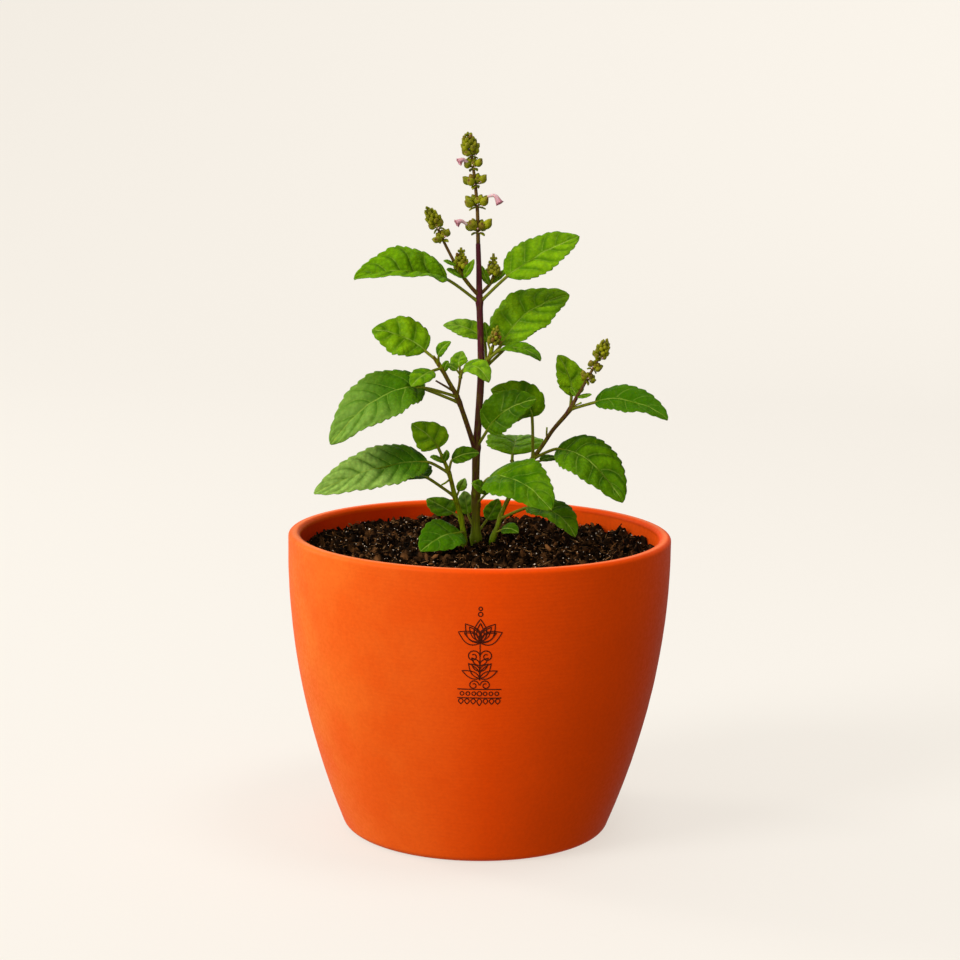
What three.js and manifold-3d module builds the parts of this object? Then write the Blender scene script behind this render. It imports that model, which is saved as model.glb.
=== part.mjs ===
/*
 * A young holy basil plant, rooted in dark soil in a round pot that draws in towards its foot.
 *
 * Millimetres, +Z up. Seen from the front, +X is to the right and +Y points to the back.
 * The origin is the middle of the pot's flat foot.
 *
 * Pieces: the pot, the soil, the main stem, its branches and shoots, the flower spikes and the
 * leaves. Stems stand in plain holes in the soil. Every stalk stops just short of its carrier.
 */
import * as THREE from 'three';
import { mergeVertices } from 'three/addons/utils/BufferGeometryUtils.js';
import Module from 'manifold-3d';

const wasm = await Module();
wasm.setup();

// ---------------------------------------------------------------- driving dimensions

const GAP = 0.3; // clearance between neighbouring pieces

// Pot: the wall follows RIM_RADIUS - FOOT_TAPER * (1 - z / BELLY_HEIGHT)^2, then stands upright.
const POT_HEIGHT = 126;
const RIM_RADIUS = 80;
const FOOT_TAPER = 24.8;
const BELLY_HEIGHT = 120;
const WALL = 5;
const FLOOR = 6;
const FOOT_FILLET = 4.9;
const LIP_FILLET = 1.8;
const POT_SIDES = 36;
const WALL_LEVELS = [24, 54, 88, 120]; // heights where the wall has a ring of points

// Soil: a shallow mound with lumps, its edge about 8 mm under the rim.
const SOIL_LEVEL = 119.2;
const SOIL_FALL = 1.7; // from the middle to the wall
const SOIL_LUMP = 0.6; // height of the broad lumps
const SOIL_ROLL = [7.1, 6.3]; // how broad they are in X and Y, over a radian
const SOIL_PHASE = [1.3, -0.4];
const SOIL_RIPPLE = 4.2; // how broad the small slanting lumps are
const SOIL_SLANT = 1.4;
const SOIL_SHARE = 0.6; // their height against the broad ones
const SOIL_RINGS = [1, 0.85, 0.68, 0.5, 0.3, 0.12];
const SOIL_CLEARANCE = 0.42; // level distance to the sloping wall
const STEM_DEPTH = 22; // how far the stems reach down into the soil
const STEPS_PER_ROW = 2; // rings of a stem between two of its rows
const SIDE_HINT = [0.35, -1, 0.12]; // where the first point of a stem's rings looks

// Leaves: half the width follows sin(pi * u^OUTLINE_SKEW)^OUTLINE_FULLNESS from base to tip.
const BLADE_THICKNESS = 0.7;
const OUTLINE_SKEW = 0.8;
const OUTLINE_FULLNESS = 0.64;
const CAMBER = 0.12; // how far the margins bend back down, as a share of the half width
const TOOTH_PITCH = 7; // length of margin for each tooth
const TOOTH_DEPTH = 0.13; // as a share of the half width
const TOOTH_LEAN = 0.3; // how far a tooth points to the tip, in rows
const PETIOLE_RADIUS = 0.65; // the thickest stalk
const PETIOLE_LEAST = 0.3;
const PETIOLE_GROWTH = 0.03; // added to the least radius per millimetre of leaf width
const STALK_PLACES = [0, 0.22, 0.42]; // rings along the stalk, whose path reaches the base at 0.5
const STALK_RUN = 0.2; // how far along the midrib the stalk's path runs on
const SMALLEST_HALF_WIDTH = 0.45;
const NARROW_LEAF = 20; // leaves shorter than this have two columns, the others four

// Flower spikes
const RACHIS_SIDES = 5;
const RACHIS_END = 0.2; // how far into the head the rachis runs
const BUD_RISE = 0.62; // how far the buds of a ring point up, against out
const BUD_SIDES = 4;
const BUD_SHAPE = [[0.05, 0.06], [0.66, 1], [1, 0.4]]; // place along a bud, share of its size
const RING_TURN = 0.6; // each ring of buds is turned this far from the one below
const HEAD_BUDS = 5; // buds round each layer of a head
const HEAD_HOLLOW = 0.34; // depth between a head's buds, as a share of its radius
const HEAD_TIP = 0.4;
const HEAD_FOOT = 0.27; // where a head starts on its egg-shaped outline
const COROLLA_RADII = [0.7, 0.9, 1.3]; // at the root, the bend and the mouth

const FINISHES = {
  terracotta: { color: 0xd9480f, roughness: 0.6 },
  soil: { color: 0x2a1c14, roughness: 0.95 },
  stem: { color: 0x5a3a34, roughness: 0.6 },
  twig: { color: 0x6f7f2c, roughness: 0.6 },
  bud: { color: 0x7f8a2e, roughness: 0.6 },
  leafFresh: { color: 0x6da52f, roughness: 0.55 },
  leafDeep: { color: 0x2f6b1f, roughness: 0.55 },
  leafPale: { color: 0x8fbf55, roughness: 0.55 },
};

// ---------------------------------------------------------------- the plant, in hand-set points

// Stems: rows of [x, y, z, radius], from the soil or the carrier outwards.
// `on` names the piece that a branch grows from; `sides` is the number of faces round it.
const STEMS = [
  {
    name: 'stem_main', sides: 8, tone: 'stem',
    rows: [
      [-1.4, 0, 120 - STEM_DEPTH, 1.5], [-1.5, 0, 120, 1.9], [-1.8, 0, 141, 1.9], [-2, 0, 148, 1.7],
      [-1.9, 0, 161, 1.8], [-1.3, 0, 173, 1.6], [-0.5, 0, 192, 1.6], [-0.9, 0, 207, 1.4],
      [-1.6, 0, 223, 1.5], [-2, 0, 235, 1.2], [-2.5, 0, 246, 1.05],
    ],
  },
  {
    name: 'branch_left', on: 'stem_main', sides: 6, tone: 'stem',
    rows: [
      [-2, 0, 159.5, 1.3], [-4.7, -3, 168, 1.2], [-7.3, -6, 176, 1.15], [-10.2, -9, 184, 1.15],
      [-13.6, -11, 190.3, 1], [-17, -12, 196.5, 1], [-20.2, -13, 201, 0.75],
    ],
    twigs: [[[-11.2, -9.6, 186, 0.6], [-15, -10.5, 188.4, 0.5], [-19, -11.5, 190.8, 0.4]],
      [[-10.2, -9, 184.2, 0.7], [-9.2, -9.4, 190, 0.65], [-8.8, -9, 194.4, 0.6]]],
  },
  {
    name: 'branch_low_left', sides: 6, tone: 'twig',
    rows: [
      [-5.8, -5, 120 - STEM_DEPTH, 1], [-6.3, -5, 121, 1.3], [-7, -5, 127.5, 1.2],
      [-8.3, -5, 134.3, 1.2], [-10.5, -7, 142, 1.1], [-13.1, -9, 152.2, 1], [-16.2, -10, 159.6, 0.8],
    ],
    twigs: [[[-12.6, -8.4, 149.6, 0.5], [-14.2, -10, 148.4, 0.45], [-16, -11.6, 147.6, 0.4]]],
  },
  {
    name: 'branch_right', sides: 6, tone: 'twig',
    rows: [
      [4.6, 3, 120 - STEM_DEPTH, 1], [5, 3, 120, 1.3], [7.2, 3, 127, 1.3], [10, 5, 135.3, 1.2],
      [15.7, 7, 146, 1.2], [21.9, 8, 156, 1.3], [26, 8, 162, 1.1], [30, 7, 168.5, 1.1],
      [36.5, 5, 177, 1.2], [40.4, 4, 184.6, 0.9],
    ],
    twigs: [[[37.4, 4.9, 178.6, 0.5], [39.3, 3.6, 179.6, 0.4], [41.4, 2.4, 180.8, 0.5]],
      [[13, 6, 141.4, 0.8], [12.6, 11, 149, 0.7], [13.4, 15, 154.6, 0.6]],
      [[27.6, 7.6, 164.4, 0.6], [27.4, 8, 167, 0.5], [27.5, 8.4, 169.4, 0.45]]],
  },
  {
    name: 'shoot_upper_left', on: 'stem_main', sides: 6, tone: 'twig',
    rows: [[-1.8, 0, 224.8, 0.9], [-5.2, -1.6, 228.6, 0.85], [-8.5, -3.6, 233, 0.9],
      [-12.4, -6, 239.6, 0.75]],
  },
  {
    name: 'shoot_upper_right', on: 'stem_main', sides: 6, tone: 'twig',
    rows: [[-1.7, 0.3, 225.2, 0.8], [0.8, 2, 227.4, 0.75], [3, 3.4, 230, 0.75], [4.1, 4, 232.6, 0.8]],
  },
  {
    name: 'shoot_mid_right', on: 'stem_main', sides: 6, tone: 'twig',
    rows: [[-0.5, 0, 191.4, 0.9], [1.9, -2, 197, 0.85], [3.5, -3, 202, 0.8], [4.2, -4, 204.6, 0.75]],
  },
];

// Leaves: the stalk runs from a point on the carrier's axis to the base, and the midrib from the
// base through the middle to the tip. `width` is the flat blade's, `face` is where the upper side
// looks, and `fold` is the angle in degrees that each half is raised from flat.
const LEAVES = [
  // the pair under the flower spike
  { name: 'leaf_top_left', on: 'stem_main', from: [-1.8, 0, 222.2], base: [-15, -3, 231.6],
    mid: [-33, -10, 235.4], tip: [-52.6, -14, 232], width: 26, face: [0, -0.52, 0.85], fold: 30,
    tone: 'leafDeep' },
  { name: 'leaf_top_right', on: 'stem_main', from: [-1.5, 0, 222.2], base: [9.5, -1, 233],
    mid: [23.4, 4, 242], tip: [39.2, 9, 249.4], width: 22, face: [-0.25, -0.72, 0.65], fold: 12,
    tone: 'leafFresh' },
  // the middle tier, right of the main stem
  { name: 'leaf_mid_right', on: 'shoot_mid_right', from: [2.7, -2.5, 199.4], base: [7.6, 0.2, 204.4],
    mid: [18.8, 7, 217.4], tip: [35.8, 15, 224.6], width: 27, face: [-0.42, -0.72, 0.55], fold: 16,
    tone: 'leafFresh' },
  { name: 'leaf_mid_right_low', on: 'shoot_mid_right', from: [2.5, -2.4, 199], base: [7.4, -6.6, 203.4],
    mid: [16.1, -12, 204.2], tip: [23.6, -16.6, 200.2], width: 12, face: [0.1, -0.3, 0.95], fold: 15,
    tone: 'leafDeep' },
  { name: 'leaf_mid_back', on: 'shoot_mid_right', from: [1.6, -1.8, 196.4], base: [0.4, 4, 206.4],
    mid: [-7.3, 10, 210.4], tip: [-16.6, 16, 210.8], width: 10.5, face: [0, -0.68, 0.73], fold: 12,
    tone: 'leafFresh' },
  { name: 'leaf_mid_far', on: 'shoot_mid_right', from: [1.1, -1.4, 195.2], base: [10.6, 10, 203.6],
    mid: [19.6, 23, 213], tip: [28.6, 38, 212], width: 18, face: [0.1, -0.1, 1], fold: 12,
    tone: 'leafDeep' },
  { name: 'leaf_mid_young', on: 'shoot_mid_right', from: [3.5, -3, 201.8], base: [2.2, 0.6, 205.4],
    mid: [1.4, 3.6, 209.6], tip: [0.6, 5, 213.5], width: 5, face: [0, -0.9, 0.4], fold: 20,
    tone: 'leafDeep' },
  // the branch to the left
  { name: 'leaf_left_large', on: 'branch_left', from: [-10.2, -9, 184], base: [-23.4, -14, 188],
    mid: [-42.4, -22, 184], tip: [-60.8, -29, 166.4], width: 28, face: [-0.3, -0.66, 0.68], fold: 12,
    tone: 'leafFresh' },
  { name: 'leaf_left_far', on: 'branch_left', from: [-9.2, -8, 181.4], base: [-24.6, -3, 186.4],
    mid: [-36, 8, 185], tip: [-47, 23, 178], width: 17, face: [-0.1, -0.1, 1], fold: 12,
    tone: 'leafDeep' },
  { name: 'leaf_left_inner', on: 'branch_left', from: [-17, -12, 196], base: [-20.4, -15, 195.2],
    mid: [-24.6, -19.5, 193.4], tip: [-28.6, -23, 189.6], width: 11, face: [-0.2, -0.6, 0.75], fold: 12,
    tone: 'leafFresh' },
  { name: 'leaf_left_high', on: 'branch_left', from: [-18.4, -12.5, 199], base: [-23.4, -11, 202.8],
    mid: [-33.4, -8, 208.6], tip: [-45.7, -3, 210.2], width: 20, face: [0.1, -0.8, 0.6], fold: 10,
    tone: 'leafFresh' },
  { name: 'leaf_left_small', on: 'branch_left', from: [-17.8, -12.3, 198], base: [-17.9, -14.6, 201.4],
    mid: [-16.4, -16, 204.6], tip: [-13, -16, 207.4], width: 6, face: [-0.6, -0.7, 0.3], fold: 15,
    tone: 'leafFresh' },
  { name: 'leaf_left_front', on: 'branch_left', from: [-9, -9.2, 192], base: [-7.8, -11, 195.4],
    mid: [-2.6, -15, 197], tip: [2.8, -19, 191.4], width: 12.5, face: [0.2, -0.6, 0.78], fold: 12,
    tone: 'leafFresh' },
  { name: 'leaf_left_back', on: 'branch_left', from: [-8.9, -9.1, 193.4], base: [-9.4, -6.8, 196],
    mid: [-9.6, -4, 198.7], tip: [-8.2, -1.6, 202], width: 8, face: [-0.2, -0.8, 0.6], fold: 15,
    tone: 'leafFresh' },
  { name: 'leaf_left_young', on: 'branch_left', from: [-9, -9.2, 193], base: [-10.4, -10, 195],
    mid: [-12.2, -9.6, 196.4], tip: [-14.4, -9.6, 197.2], width: 4, face: [0, -0.8, 0.6], fold: 15,
    tone: 'leafFresh' },
  // in front of and beside the main stem
  { name: 'leaf_centre_front', on: 'stem_main', from: [-1.9, 0, 161.5], base: [2.3, -5, 169.4],
    mid: [9.6, -9, 178.4], tip: [22.2, -13, 184], width: 19, face: [-0.4, -0.8, 0.45], fold: 14,
    tone: 'leafDeep' },
  { name: 'leaf_centre_right', on: 'branch_right', from: [21.9, 8, 156], base: [21.1, 6, 174],
    mid: [16.8, 4.2, 180.9], tip: [3.7, 2.4, 185.6], width: 19.5, face: [0.2, -0.85, 0.5], fold: 10,
    tone: 'leafFresh' },
  { name: 'leaf_back_large', on: 'branch_right', from: [13.2, 14.4, 153.8], base: [13.4, 18, 156],
    mid: [14.8, 32, 159.6], tip: [16, 47, 160], width: 26, face: [0, -0.1, 1], fold: 10,
    tone: 'leafDeep' },
  // the branch to the right
  { name: 'leaf_right_large', on: 'branch_right', from: [22, 8, 156.2], base: [31.8, 5, 160.8],
    mid: [46.2, -5, 156.3], tip: [58.6, -15, 142], width: 25.5, face: [0.3, -0.72, 0.62], fold: 12,
    tone: 'leafDeep' },
  { name: 'leaf_right_inner', on: 'branch_right', from: [21, 8, 154.6], base: [25, 10, 154.8],
    mid: [29, 12.4, 155.6], tip: [33, 14, 155.1], width: 6, face: [0, -0.4, 0.9], fold: 15,
    tone: 'leafDeep' },
  { name: 'leaf_right_upper', on: 'branch_right', from: [37, 4.9, 178], base: [37.4, 7.4, 182.8],
    mid: [36.4, 9.6, 190.8], tip: [31.5, 12, 199.4], width: 14, face: [0.3, -0.85, 0.3], fold: 14,
    tone: 'leafFresh' },
  { name: 'leaf_right_outer', on: 'branch_right', from: [36.9, 4.8, 177.6], base: [47, 2.4, 181],
    mid: [61.8, -2.5, 182.4], tip: [76.6, -9, 175.7], width: 19, face: [0.1, -0.55, 0.82], fold: 12,
    tone: 'leafFresh' },
  // low down, in front
  { name: 'leaf_front_large', on: 'stem_main', from: [-1.8, 0, 142], base: [3.3, -8, 150],
    mid: [15, -20, 151], tip: [28.8, -32, 141.2], width: 28, face: [0.1, -0.6, 0.8], fold: 10,
    tone: 'leafFresh' },
  { name: 'leaf_front_small', on: 'stem_main', from: [-1.8, 0, 137.4], base: [2.8, -7.6, 144.6],
    mid: [0, -12, 147], tip: [-3.6, -15, 149], width: 7, face: [-0.3, -0.8, 0.5], fold: 12,
    tone: 'leafDeep' },
  { name: 'leaf_low_right', on: 'branch_right', from: [8.6, 3.7, 131], base: [19.4, 0, 136.4],
    mid: [30.6, -7, 136], tip: [39.4, -14, 127], width: 18, face: [0.35, -0.5, 0.78], fold: 12,
    tone: 'leafDeep' },
  { name: 'leaf_low_right_small', on: 'branch_right', from: [6.6, 3, 125], base: [9, -1.4, 127],
    mid: [12.4, -4.6, 128.4], tip: [16, -8, 127.2], width: 7, face: [0, -0.6, 0.8], fold: 12,
    tone: 'leafDeep' },
  { name: 'leaf_low_front', on: 'branch_low_left', from: [-6.9, -5, 126.6], base: [-7.6, -9.4, 127.2],
    mid: [-15.5, -18, 127.2], tip: [-23.9, -27, 122.6], width: 19, face: [-0.1, -0.68, 0.73], fold: 10,
    tone: 'leafFresh' },
  // the low branch to the left
  { name: 'leaf_low_left_long', on: 'branch_low_left', from: [-13.1, -9, 152.2], base: [-21.7, -13, 157.2],
    mid: [-42, -20, 155.6], tip: [-67.6, -26, 145.6], width: 24.5, face: [-0.05, -0.62, 0.78], fold: 10,
    tone: 'leafPale' },
  { name: 'leaf_low_left_under', on: 'branch_low_left', from: [-10.5, -7, 142], base: [-22, -9, 150],
    mid: [-30.4, 2, 150.4], tip: [-38, 14, 148], width: 17, face: [-0.1, -0.3, 0.95], fold: 14,
    tone: 'leafDeep' },
  { name: 'leaf_low_left_top', on: 'branch_low_left', from: [-16.1, -9.9, 159.4], base: [-17.6, -9.8, 162.6],
    mid: [-21.2, -9, 167.2], tip: [-28.9, -6, 172], width: 16, face: [0.2, -0.85, 0.48], fold: 10,
    tone: 'leafFresh' },
  { name: 'leaf_low_left_inner', on: 'branch_low_left', from: [-13.2, -9.1, 152.6], base: [-11.9, -11, 157.8],
    mid: [-7, -12, 160.4], tip: [-0.8, -11, 161], width: 8.5, face: [0, -0.7, 0.7], fold: 14,
    tone: 'leafDeep' },
  { name: 'leaf_low_left_back', on: 'branch_low_left', from: [-7.8, -5, 132], base: [-11, 0, 133.6],
    mid: [-16.4, 4.6, 135.6], tip: [-22.5, 9, 138], width: 12, face: [0, -0.5, 0.85], fold: 12,
    tone: 'leafDeep' },
  { name: 'leaf_low_left_curled', on: 'branch_low_left', from: [-10.2, -6.7, 141], base: [-8.9, -8.6, 144.7],
    mid: [-7.6, -10, 147.8], tip: [-6.4, -10.6, 150.3], width: 5, face: [0.3, -0.9, 0.3], fold: 25,
    tone: 'leafFresh' },
  { name: 'leaf_low_back_pale', on: 'stem_main', from: [-1.7, 0, 126], base: [-5, 7, 132],
    mid: [-6, 11, 136.4], tip: [-6.9, 14, 140.7], width: 8, face: [0, -0.8, 0.6], fold: 12,
    tone: 'leafPale' },
  { name: 'leaf_low_back_dark', on: 'stem_main', from: [-1.6, 0, 124.4], base: [3, 8, 129.6],
    mid: [5.6, 12, 133.2], tip: [7.6, 15, 137.4], width: 8, face: [0, -0.8, 0.6], fold: 12,
    tone: 'leafDeep' },
];

// Young leaves at the growing tips, without stalks, fused to the shoot that they sit on.
const LEAFLETS = [
  { on: 'branch_left', base: [-15.8, -11.6, 194.6], mid: [-14.8, -12.8, 197.6],
    tip: [-13.8, -13, 199], width: 3.4, face: [0, -0.9, 0.3], fold: 15 },
  { on: 'branch_low_left', base: [-15, -9.6, 156.6], mid: [-18.4, -12, 158.6],
    tip: [-20.8, -13.4, 159.4], width: 4, face: [0, -0.6, 0.8], fold: 15 },
  { on: 'branch_low_left', base: [-15.2, -9.7, 157.2], mid: [-14.2, -12.8, 160.4],
    tip: [-14.2, -13.4, 162.4], width: 3, face: [0, -0.9, 0.3], fold: 15 },
  { on: 'branch_right', base: [39.8, 4.1, 183], mid: [38.4, 5.8, 185],
    tip: [37, 6.6, 186.6], width: 3.6, face: [0, -0.6, 0.8], fold: 15 },
  { on: 'branch_right', base: [39.9, 4.1, 183], mid: [43, 2, 183.6],
    tip: [45.4, 0.6, 184.6], width: 3.4, face: [0, -0.6, 0.8], fold: 15 },
  { on: 'shoot_upper_left', base: [-8.1, -3.4, 232.4], mid: [-12.4, -6.8, 234.8],
    tip: [-15.2, -8, 236.2], width: 4.6, face: [0, -0.6, 0.8], fold: 15 },
  { on: 'shoot_upper_left', base: [-8.4, -3.6, 232.8], mid: [-6, -7.2, 236.4],
    tip: [-4.1, -8.6, 240.4], width: 4, face: [-0.4, -0.9, 0.3], fold: 15 },
  { on: 'shoot_upper_left', base: [-11.6, -5.5, 238], mid: [-14, -8, 238.8],
    tip: [-16.4, -9.6, 239.8], width: 3.6, face: [0, -0.6, 0.8], fold: 15 },
  { on: 'shoot_upper_right', base: [2.4, 3, 229.4], mid: [0.2, 1.2, 233.4],
    tip: [-1, 0.4, 237.2], width: 3.6, face: [0, -0.9, 0.4], fold: 15 },
  { on: 'shoot_upper_right', base: [2.4, 3.2, 229.4], mid: [6.6, 7.4, 232.6],
    tip: [9.4, 9, 235.2], width: 3.6, face: [0, -0.6, 0.8], fold: 15 },
];

// Flower spikes: a rachis, rings of buds that stand apart, and a dense egg-shaped head. `at` and
// `from` are shares of the rachis. Each of the `corollas` runs from its root over a bend to its mouth.
const SPIKES = [
  {
    name: 'spike_top', on: 'stem_main',
    rachis: [[-2.5, 0, 246.2, 0.9], [-3.2, 0, 262, 0.75], [-5.1, 0, 277.8, 0.65], [-7.6, 0, 292, 0.5]],
    rings: [
      { at: 0.1, buds: 6, reach: 7, size: 2.1 }, { at: 0.32, buds: 6, reach: 6.2, size: 2 },
      { at: 0.5, buds: 6, reach: 5.7, size: 1.9 }, { at: 0.65, buds: 5, reach: 5, size: 1.8 },
      { at: 0.76, buds: 5, reach: 4.4, size: 1.6 },
    ],
    head: { from: 0.82, layers: 5, reach: 3.8 },
    corollas: [[[0.4, -1.4, 265.4], [3.4, -2.2, 266.4], [6, -3, 262.6]],
      [[-7, -1.6, 279], [-9.2, -2.4, 280.4], [-11, -3, 279.4]],
      [[-7, -2.6, 254], [-9.6, -3.6, 255.6], [-11.6, -4.2, 254.6]]],
  },
  {
    name: 'spike_upper_left', on: 'shoot_upper_left',
    rachis: [[-12.4, -6, 239.4, 0.65], [-16.8, -8, 248, 0.6], [-20, -9.6, 255, 0.55],
      [-23.8, -11.6, 261.8, 0.4]],
    rings: [{ at: 0.34, buds: 5, reach: 4.6, size: 1.7 }, { at: 0.56, buds: 5, reach: 4.1, size: 1.6 }],
    head: { from: 0.7, layers: 4, reach: 3.2 },
  },
  {
    name: 'spike_upper_left_young', on: 'shoot_upper_left',
    rachis: [[-8.4, -3.5, 232.8, 0.6], [-9.3, -2.6, 237.4, 0.55], [-9.5, -2, 245.6, 0.4]],
    rings: [],
    head: { from: 0.36, layers: 5, reach: 3.5 },
  },
  {
    name: 'spike_upper_right', on: 'shoot_upper_right',
    rachis: [[4, 4, 232.4, 0.6], [4, 4.2, 236, 0.55], [3.8, 4.4, 242.8, 0.4]],
    rings: [],
    head: { from: 0.12, layers: 5, reach: 3.4 },
  },
  {
    name: 'spike_mid_right', on: 'shoot_mid_right',
    rachis: [[4.2, -4, 204.4, 0.55], [5, -4.6, 208, 0.5], [6.1, -5, 213.8, 0.35]],
    rings: [],
    head: { from: 0.2, layers: 4, reach: 3.1 },
  },
  {
    name: 'spike_right', on: 'branch_right',
    rachis: [[40.4, 4, 184.4, 0.7], [44, 3, 191.4, 0.65], [48.4, 2, 200, 0.55], [51.6, 1, 208, 0.4]],
    rings: [
      { at: 0.28, buds: 5, reach: 4.2, size: 1.6 }, { at: 0.48, buds: 5, reach: 3.9, size: 1.55 },
      { at: 0.65, buds: 5, reach: 3.5, size: 1.45 },
    ],
    head: { from: 0.74, layers: 4, reach: 3.2 },
  },
];

// ---------------------------------------------------------------- helpers

const vec = ([x, y, z]) => new THREE.Vector3(x, y, z);

/** A geometry of shared points only, without collapsed triangles. */
function bare(positions, index) {
  const loose = new THREE.BufferGeometry();
  loose.setAttribute('position', new THREE.Float32BufferAttribute(positions, 3));
  loose.setIndex(index);
  const merged = mergeVertices(loose, 1e-4);
  const kept = [];
  const old = merged.index.array;
  for (let k = 0; k < old.length; k += 3) {
    const [a, b, c] = [old[k], old[k + 1], old[k + 2]];
    if (a !== b && b !== c && c !== a) kept.push(a, b, c);
  }
  merged.setIndex(kept);
  return merged;
}

/** A closed geometry as a solid that can be joined and cut. */
function solidOf(geometry) {
  return new wasm.Manifold(new wasm.Mesh({
    numProp: 3,
    vertProperties: Float32Array.from(geometry.attributes.position.array),
    triVerts: Uint32Array.from(geometry.index.array),
  }));
}

/** The largest piece of a solid, so that a cut leaves no loose scrap. */
function largest(solid) {
  return solid.decompose().sort((a, b) => b.volume() - a.volume())[0];
}

/** A solid as a named mesh in one of the finishes. */
function meshOf(name, solid, tone) {
  const { vertProperties, triVerts } = solid.getMesh();
  const geometry = new THREE.BufferGeometry();
  geometry.setAttribute('position', new THREE.BufferAttribute(Float32Array.from(vertProperties), 3));
  geometry.setIndex(new THREE.BufferAttribute(Uint32Array.from(triVerts), 1));
  geometry.computeVertexNormals();
  const mesh = new THREE.Mesh(geometry, new THREE.MeshStandardMaterial(FINISHES[tone]));
  mesh.name = name;
  return mesh;
}

/** Rings with the same number of points, skinned into one closed form with flat ends. */
function loft(rings) {
  const n = rings[0].length;
  const last = (rings.length - 1) * n;
  const index = [];
  for (let k = 0; k < rings.length - 1; k += 1) {
    for (let j = 0; j < n; j += 1) {
      const a = k * n + j;
      const b = k * n + ((j + 1) % n);
      index.push(a, b, b + n, a, b + n, a + n);
    }
  }
  for (let j = 1; j < n - 1; j += 1) {
    index.push(0, j + 1, j, last, last + j, last + j + 1);
  }
  return bare(rings.flat().flatMap((p) => [p.x, p.y, p.z]), index);
}

/** A ring of points round `centre`, square to `along`. */
function ring(centre, along, radius, sides, turn = 0) {
  const side = vec(SIDE_HINT);
  side.addScaledVector(along, -side.dot(along)).normalize();
  const other = new THREE.Vector3().crossVectors(along, side);
  return Array.from({ length: sides }, (_, k) => {
    const angle = turn + (2 * Math.PI * k) / sides;
    return centre.clone()
      .addScaledVector(side, radius * Math.cos(angle))
      .addScaledVector(other, radius * Math.sin(angle));
  });
}

/**
 * A tapered tube through rows of [x, y, z, radius]. `grow` is added to it on all sides, and
 * `end` is the share of the path that it covers.
 */
function tube(rows, sides, grow = 0, end = 1) {
  const curve = new THREE.CatmullRomCurve3(rows.map(vec), false, 'centripetal');
  const steps = Math.ceil((rows.length - 1) * STEPS_PER_ROW * end);
  const rings = [];
  for (let k = 0; k <= steps; k += 1) {
    const t = (end * k) / steps;
    const span = Math.min(Math.floor(t * (rows.length - 1)), rows.length - 2);
    const share = t * (rows.length - 1) - span;
    const radius = THREE.MathUtils.lerp(rows[span][3], rows[span + 1][3], share) + grow;
    const along = curve.getTangent(t).normalize();
    const push = k === 0 ? -grow : k === steps ? grow : 0;
    rings.push(ring(curve.getPoint(t).addScaledVector(along, push), along, radius, sides));
  }
  return loft(rings);
}

// ---------------------------------------------------------------- pot and soil

/** Outer radius of the pot's wall at height z. */
function outerRadius(z) {
  return RIM_RADIUS - FOOT_TAPER * Math.max(0, 1 - z / BELLY_HEIGHT) ** 2;
}

/** Points of a round corner about (r, z) between two angles in degrees. */
function corner(r, z, radius, start, end, steps) {
  return Array.from({ length: steps + 1 }, (_, k) => {
    const angle = THREE.MathUtils.degToRad(start + ((end - start) * k) / steps);
    return new THREE.Vector2(r + radius * Math.cos(angle), z + radius * Math.sin(angle));
  });
}

/** A profile of [radius, height] points turned about Z. */
function turned(profile) {
  const lathe = new THREE.LatheGeometry(profile, POT_SIDES).rotateX(Math.PI / 2);
  return bare(Array.from(lathe.attributes.position.array), Array.from(lathe.index.array));
}

function potSolid() {
  const wallSlope = (2 * FOOT_TAPER) / BELLY_HEIGHT;
  const footCentre = outerRadius(0) + wallSlope * FOOT_FILLET - Math.hypot(1, wallSlope) * FOOT_FILLET;
  const wallAngle = -THREE.MathUtils.radToDeg(Math.atan(wallSlope));
  const lipHeight = POT_HEIGHT - LIP_FILLET;
  const inside = (z) => new THREE.Vector2(outerRadius(z) - WALL, z);
  const profile = [
    new THREE.Vector2(0, 0),
    ...corner(footCentre, FOOT_FILLET, FOOT_FILLET, -90, wallAngle, 3),
    ...WALL_LEVELS.map((z) => new THREE.Vector2(outerRadius(z), z)),
    ...corner(RIM_RADIUS - LIP_FILLET, lipHeight, LIP_FILLET, 0, 90, 2),
    ...corner(RIM_RADIUS - WALL + LIP_FILLET, lipHeight, LIP_FILLET, 90, 180, 2),
    ...[...WALL_LEVELS].reverse().map(inside),
    inside(FLOOR),
    new THREE.Vector2(0, FLOOR),
  ];
  return solidOf(turned(profile));
}

/** Height of the soil at a place: a shallow mound with rolling lumps. */
function soilHeight(x, y) {
  const reach = RIM_RADIUS - WALL;
  const broad = Math.sin(x / SOIL_ROLL[0] + SOIL_PHASE[0]) * Math.cos(y / SOIL_ROLL[1] + SOIL_PHASE[1]);
  const small = SOIL_SHARE * Math.sin((x - SOIL_SLANT * y) / SOIL_RIPPLE);
  return SOIL_LEVEL - SOIL_FALL * ((x * x + y * y) / reach ** 2) + SOIL_LUMP * (broad + small);
}

function soilSolid(stems) {
  const side = (z) => new THREE.Vector2(outerRadius(z) - WALL - SOIL_CLEARANCE, z);
  const edge = side(SOIL_LEVEL).x;
  const top = SOIL_RINGS.map((share) => new THREE.Vector2(edge * share, SOIL_LEVEL));
  const bottom = side(FLOOR + GAP);
  const levels = WALL_LEVELS.filter((z) => z < SOIL_LEVEL - 1).map(side);
  const geometry = turned([new THREE.Vector2(0, FLOOR + GAP), bottom, ...levels, ...top,
    new THREE.Vector2(0, SOIL_LEVEL)]);
  const place = geometry.attributes.position;
  for (let k = 0; k < place.count; k += 1) {
    if (place.getZ(k) > SOIL_LEVEL - 0.5) place.setZ(k, soilHeight(place.getX(k), place.getY(k)));
  }
  return stems.reduce((soil, stem) => soil.subtract(stem), solidOf(geometry));
}

// ---------------------------------------------------------------- leaves

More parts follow.
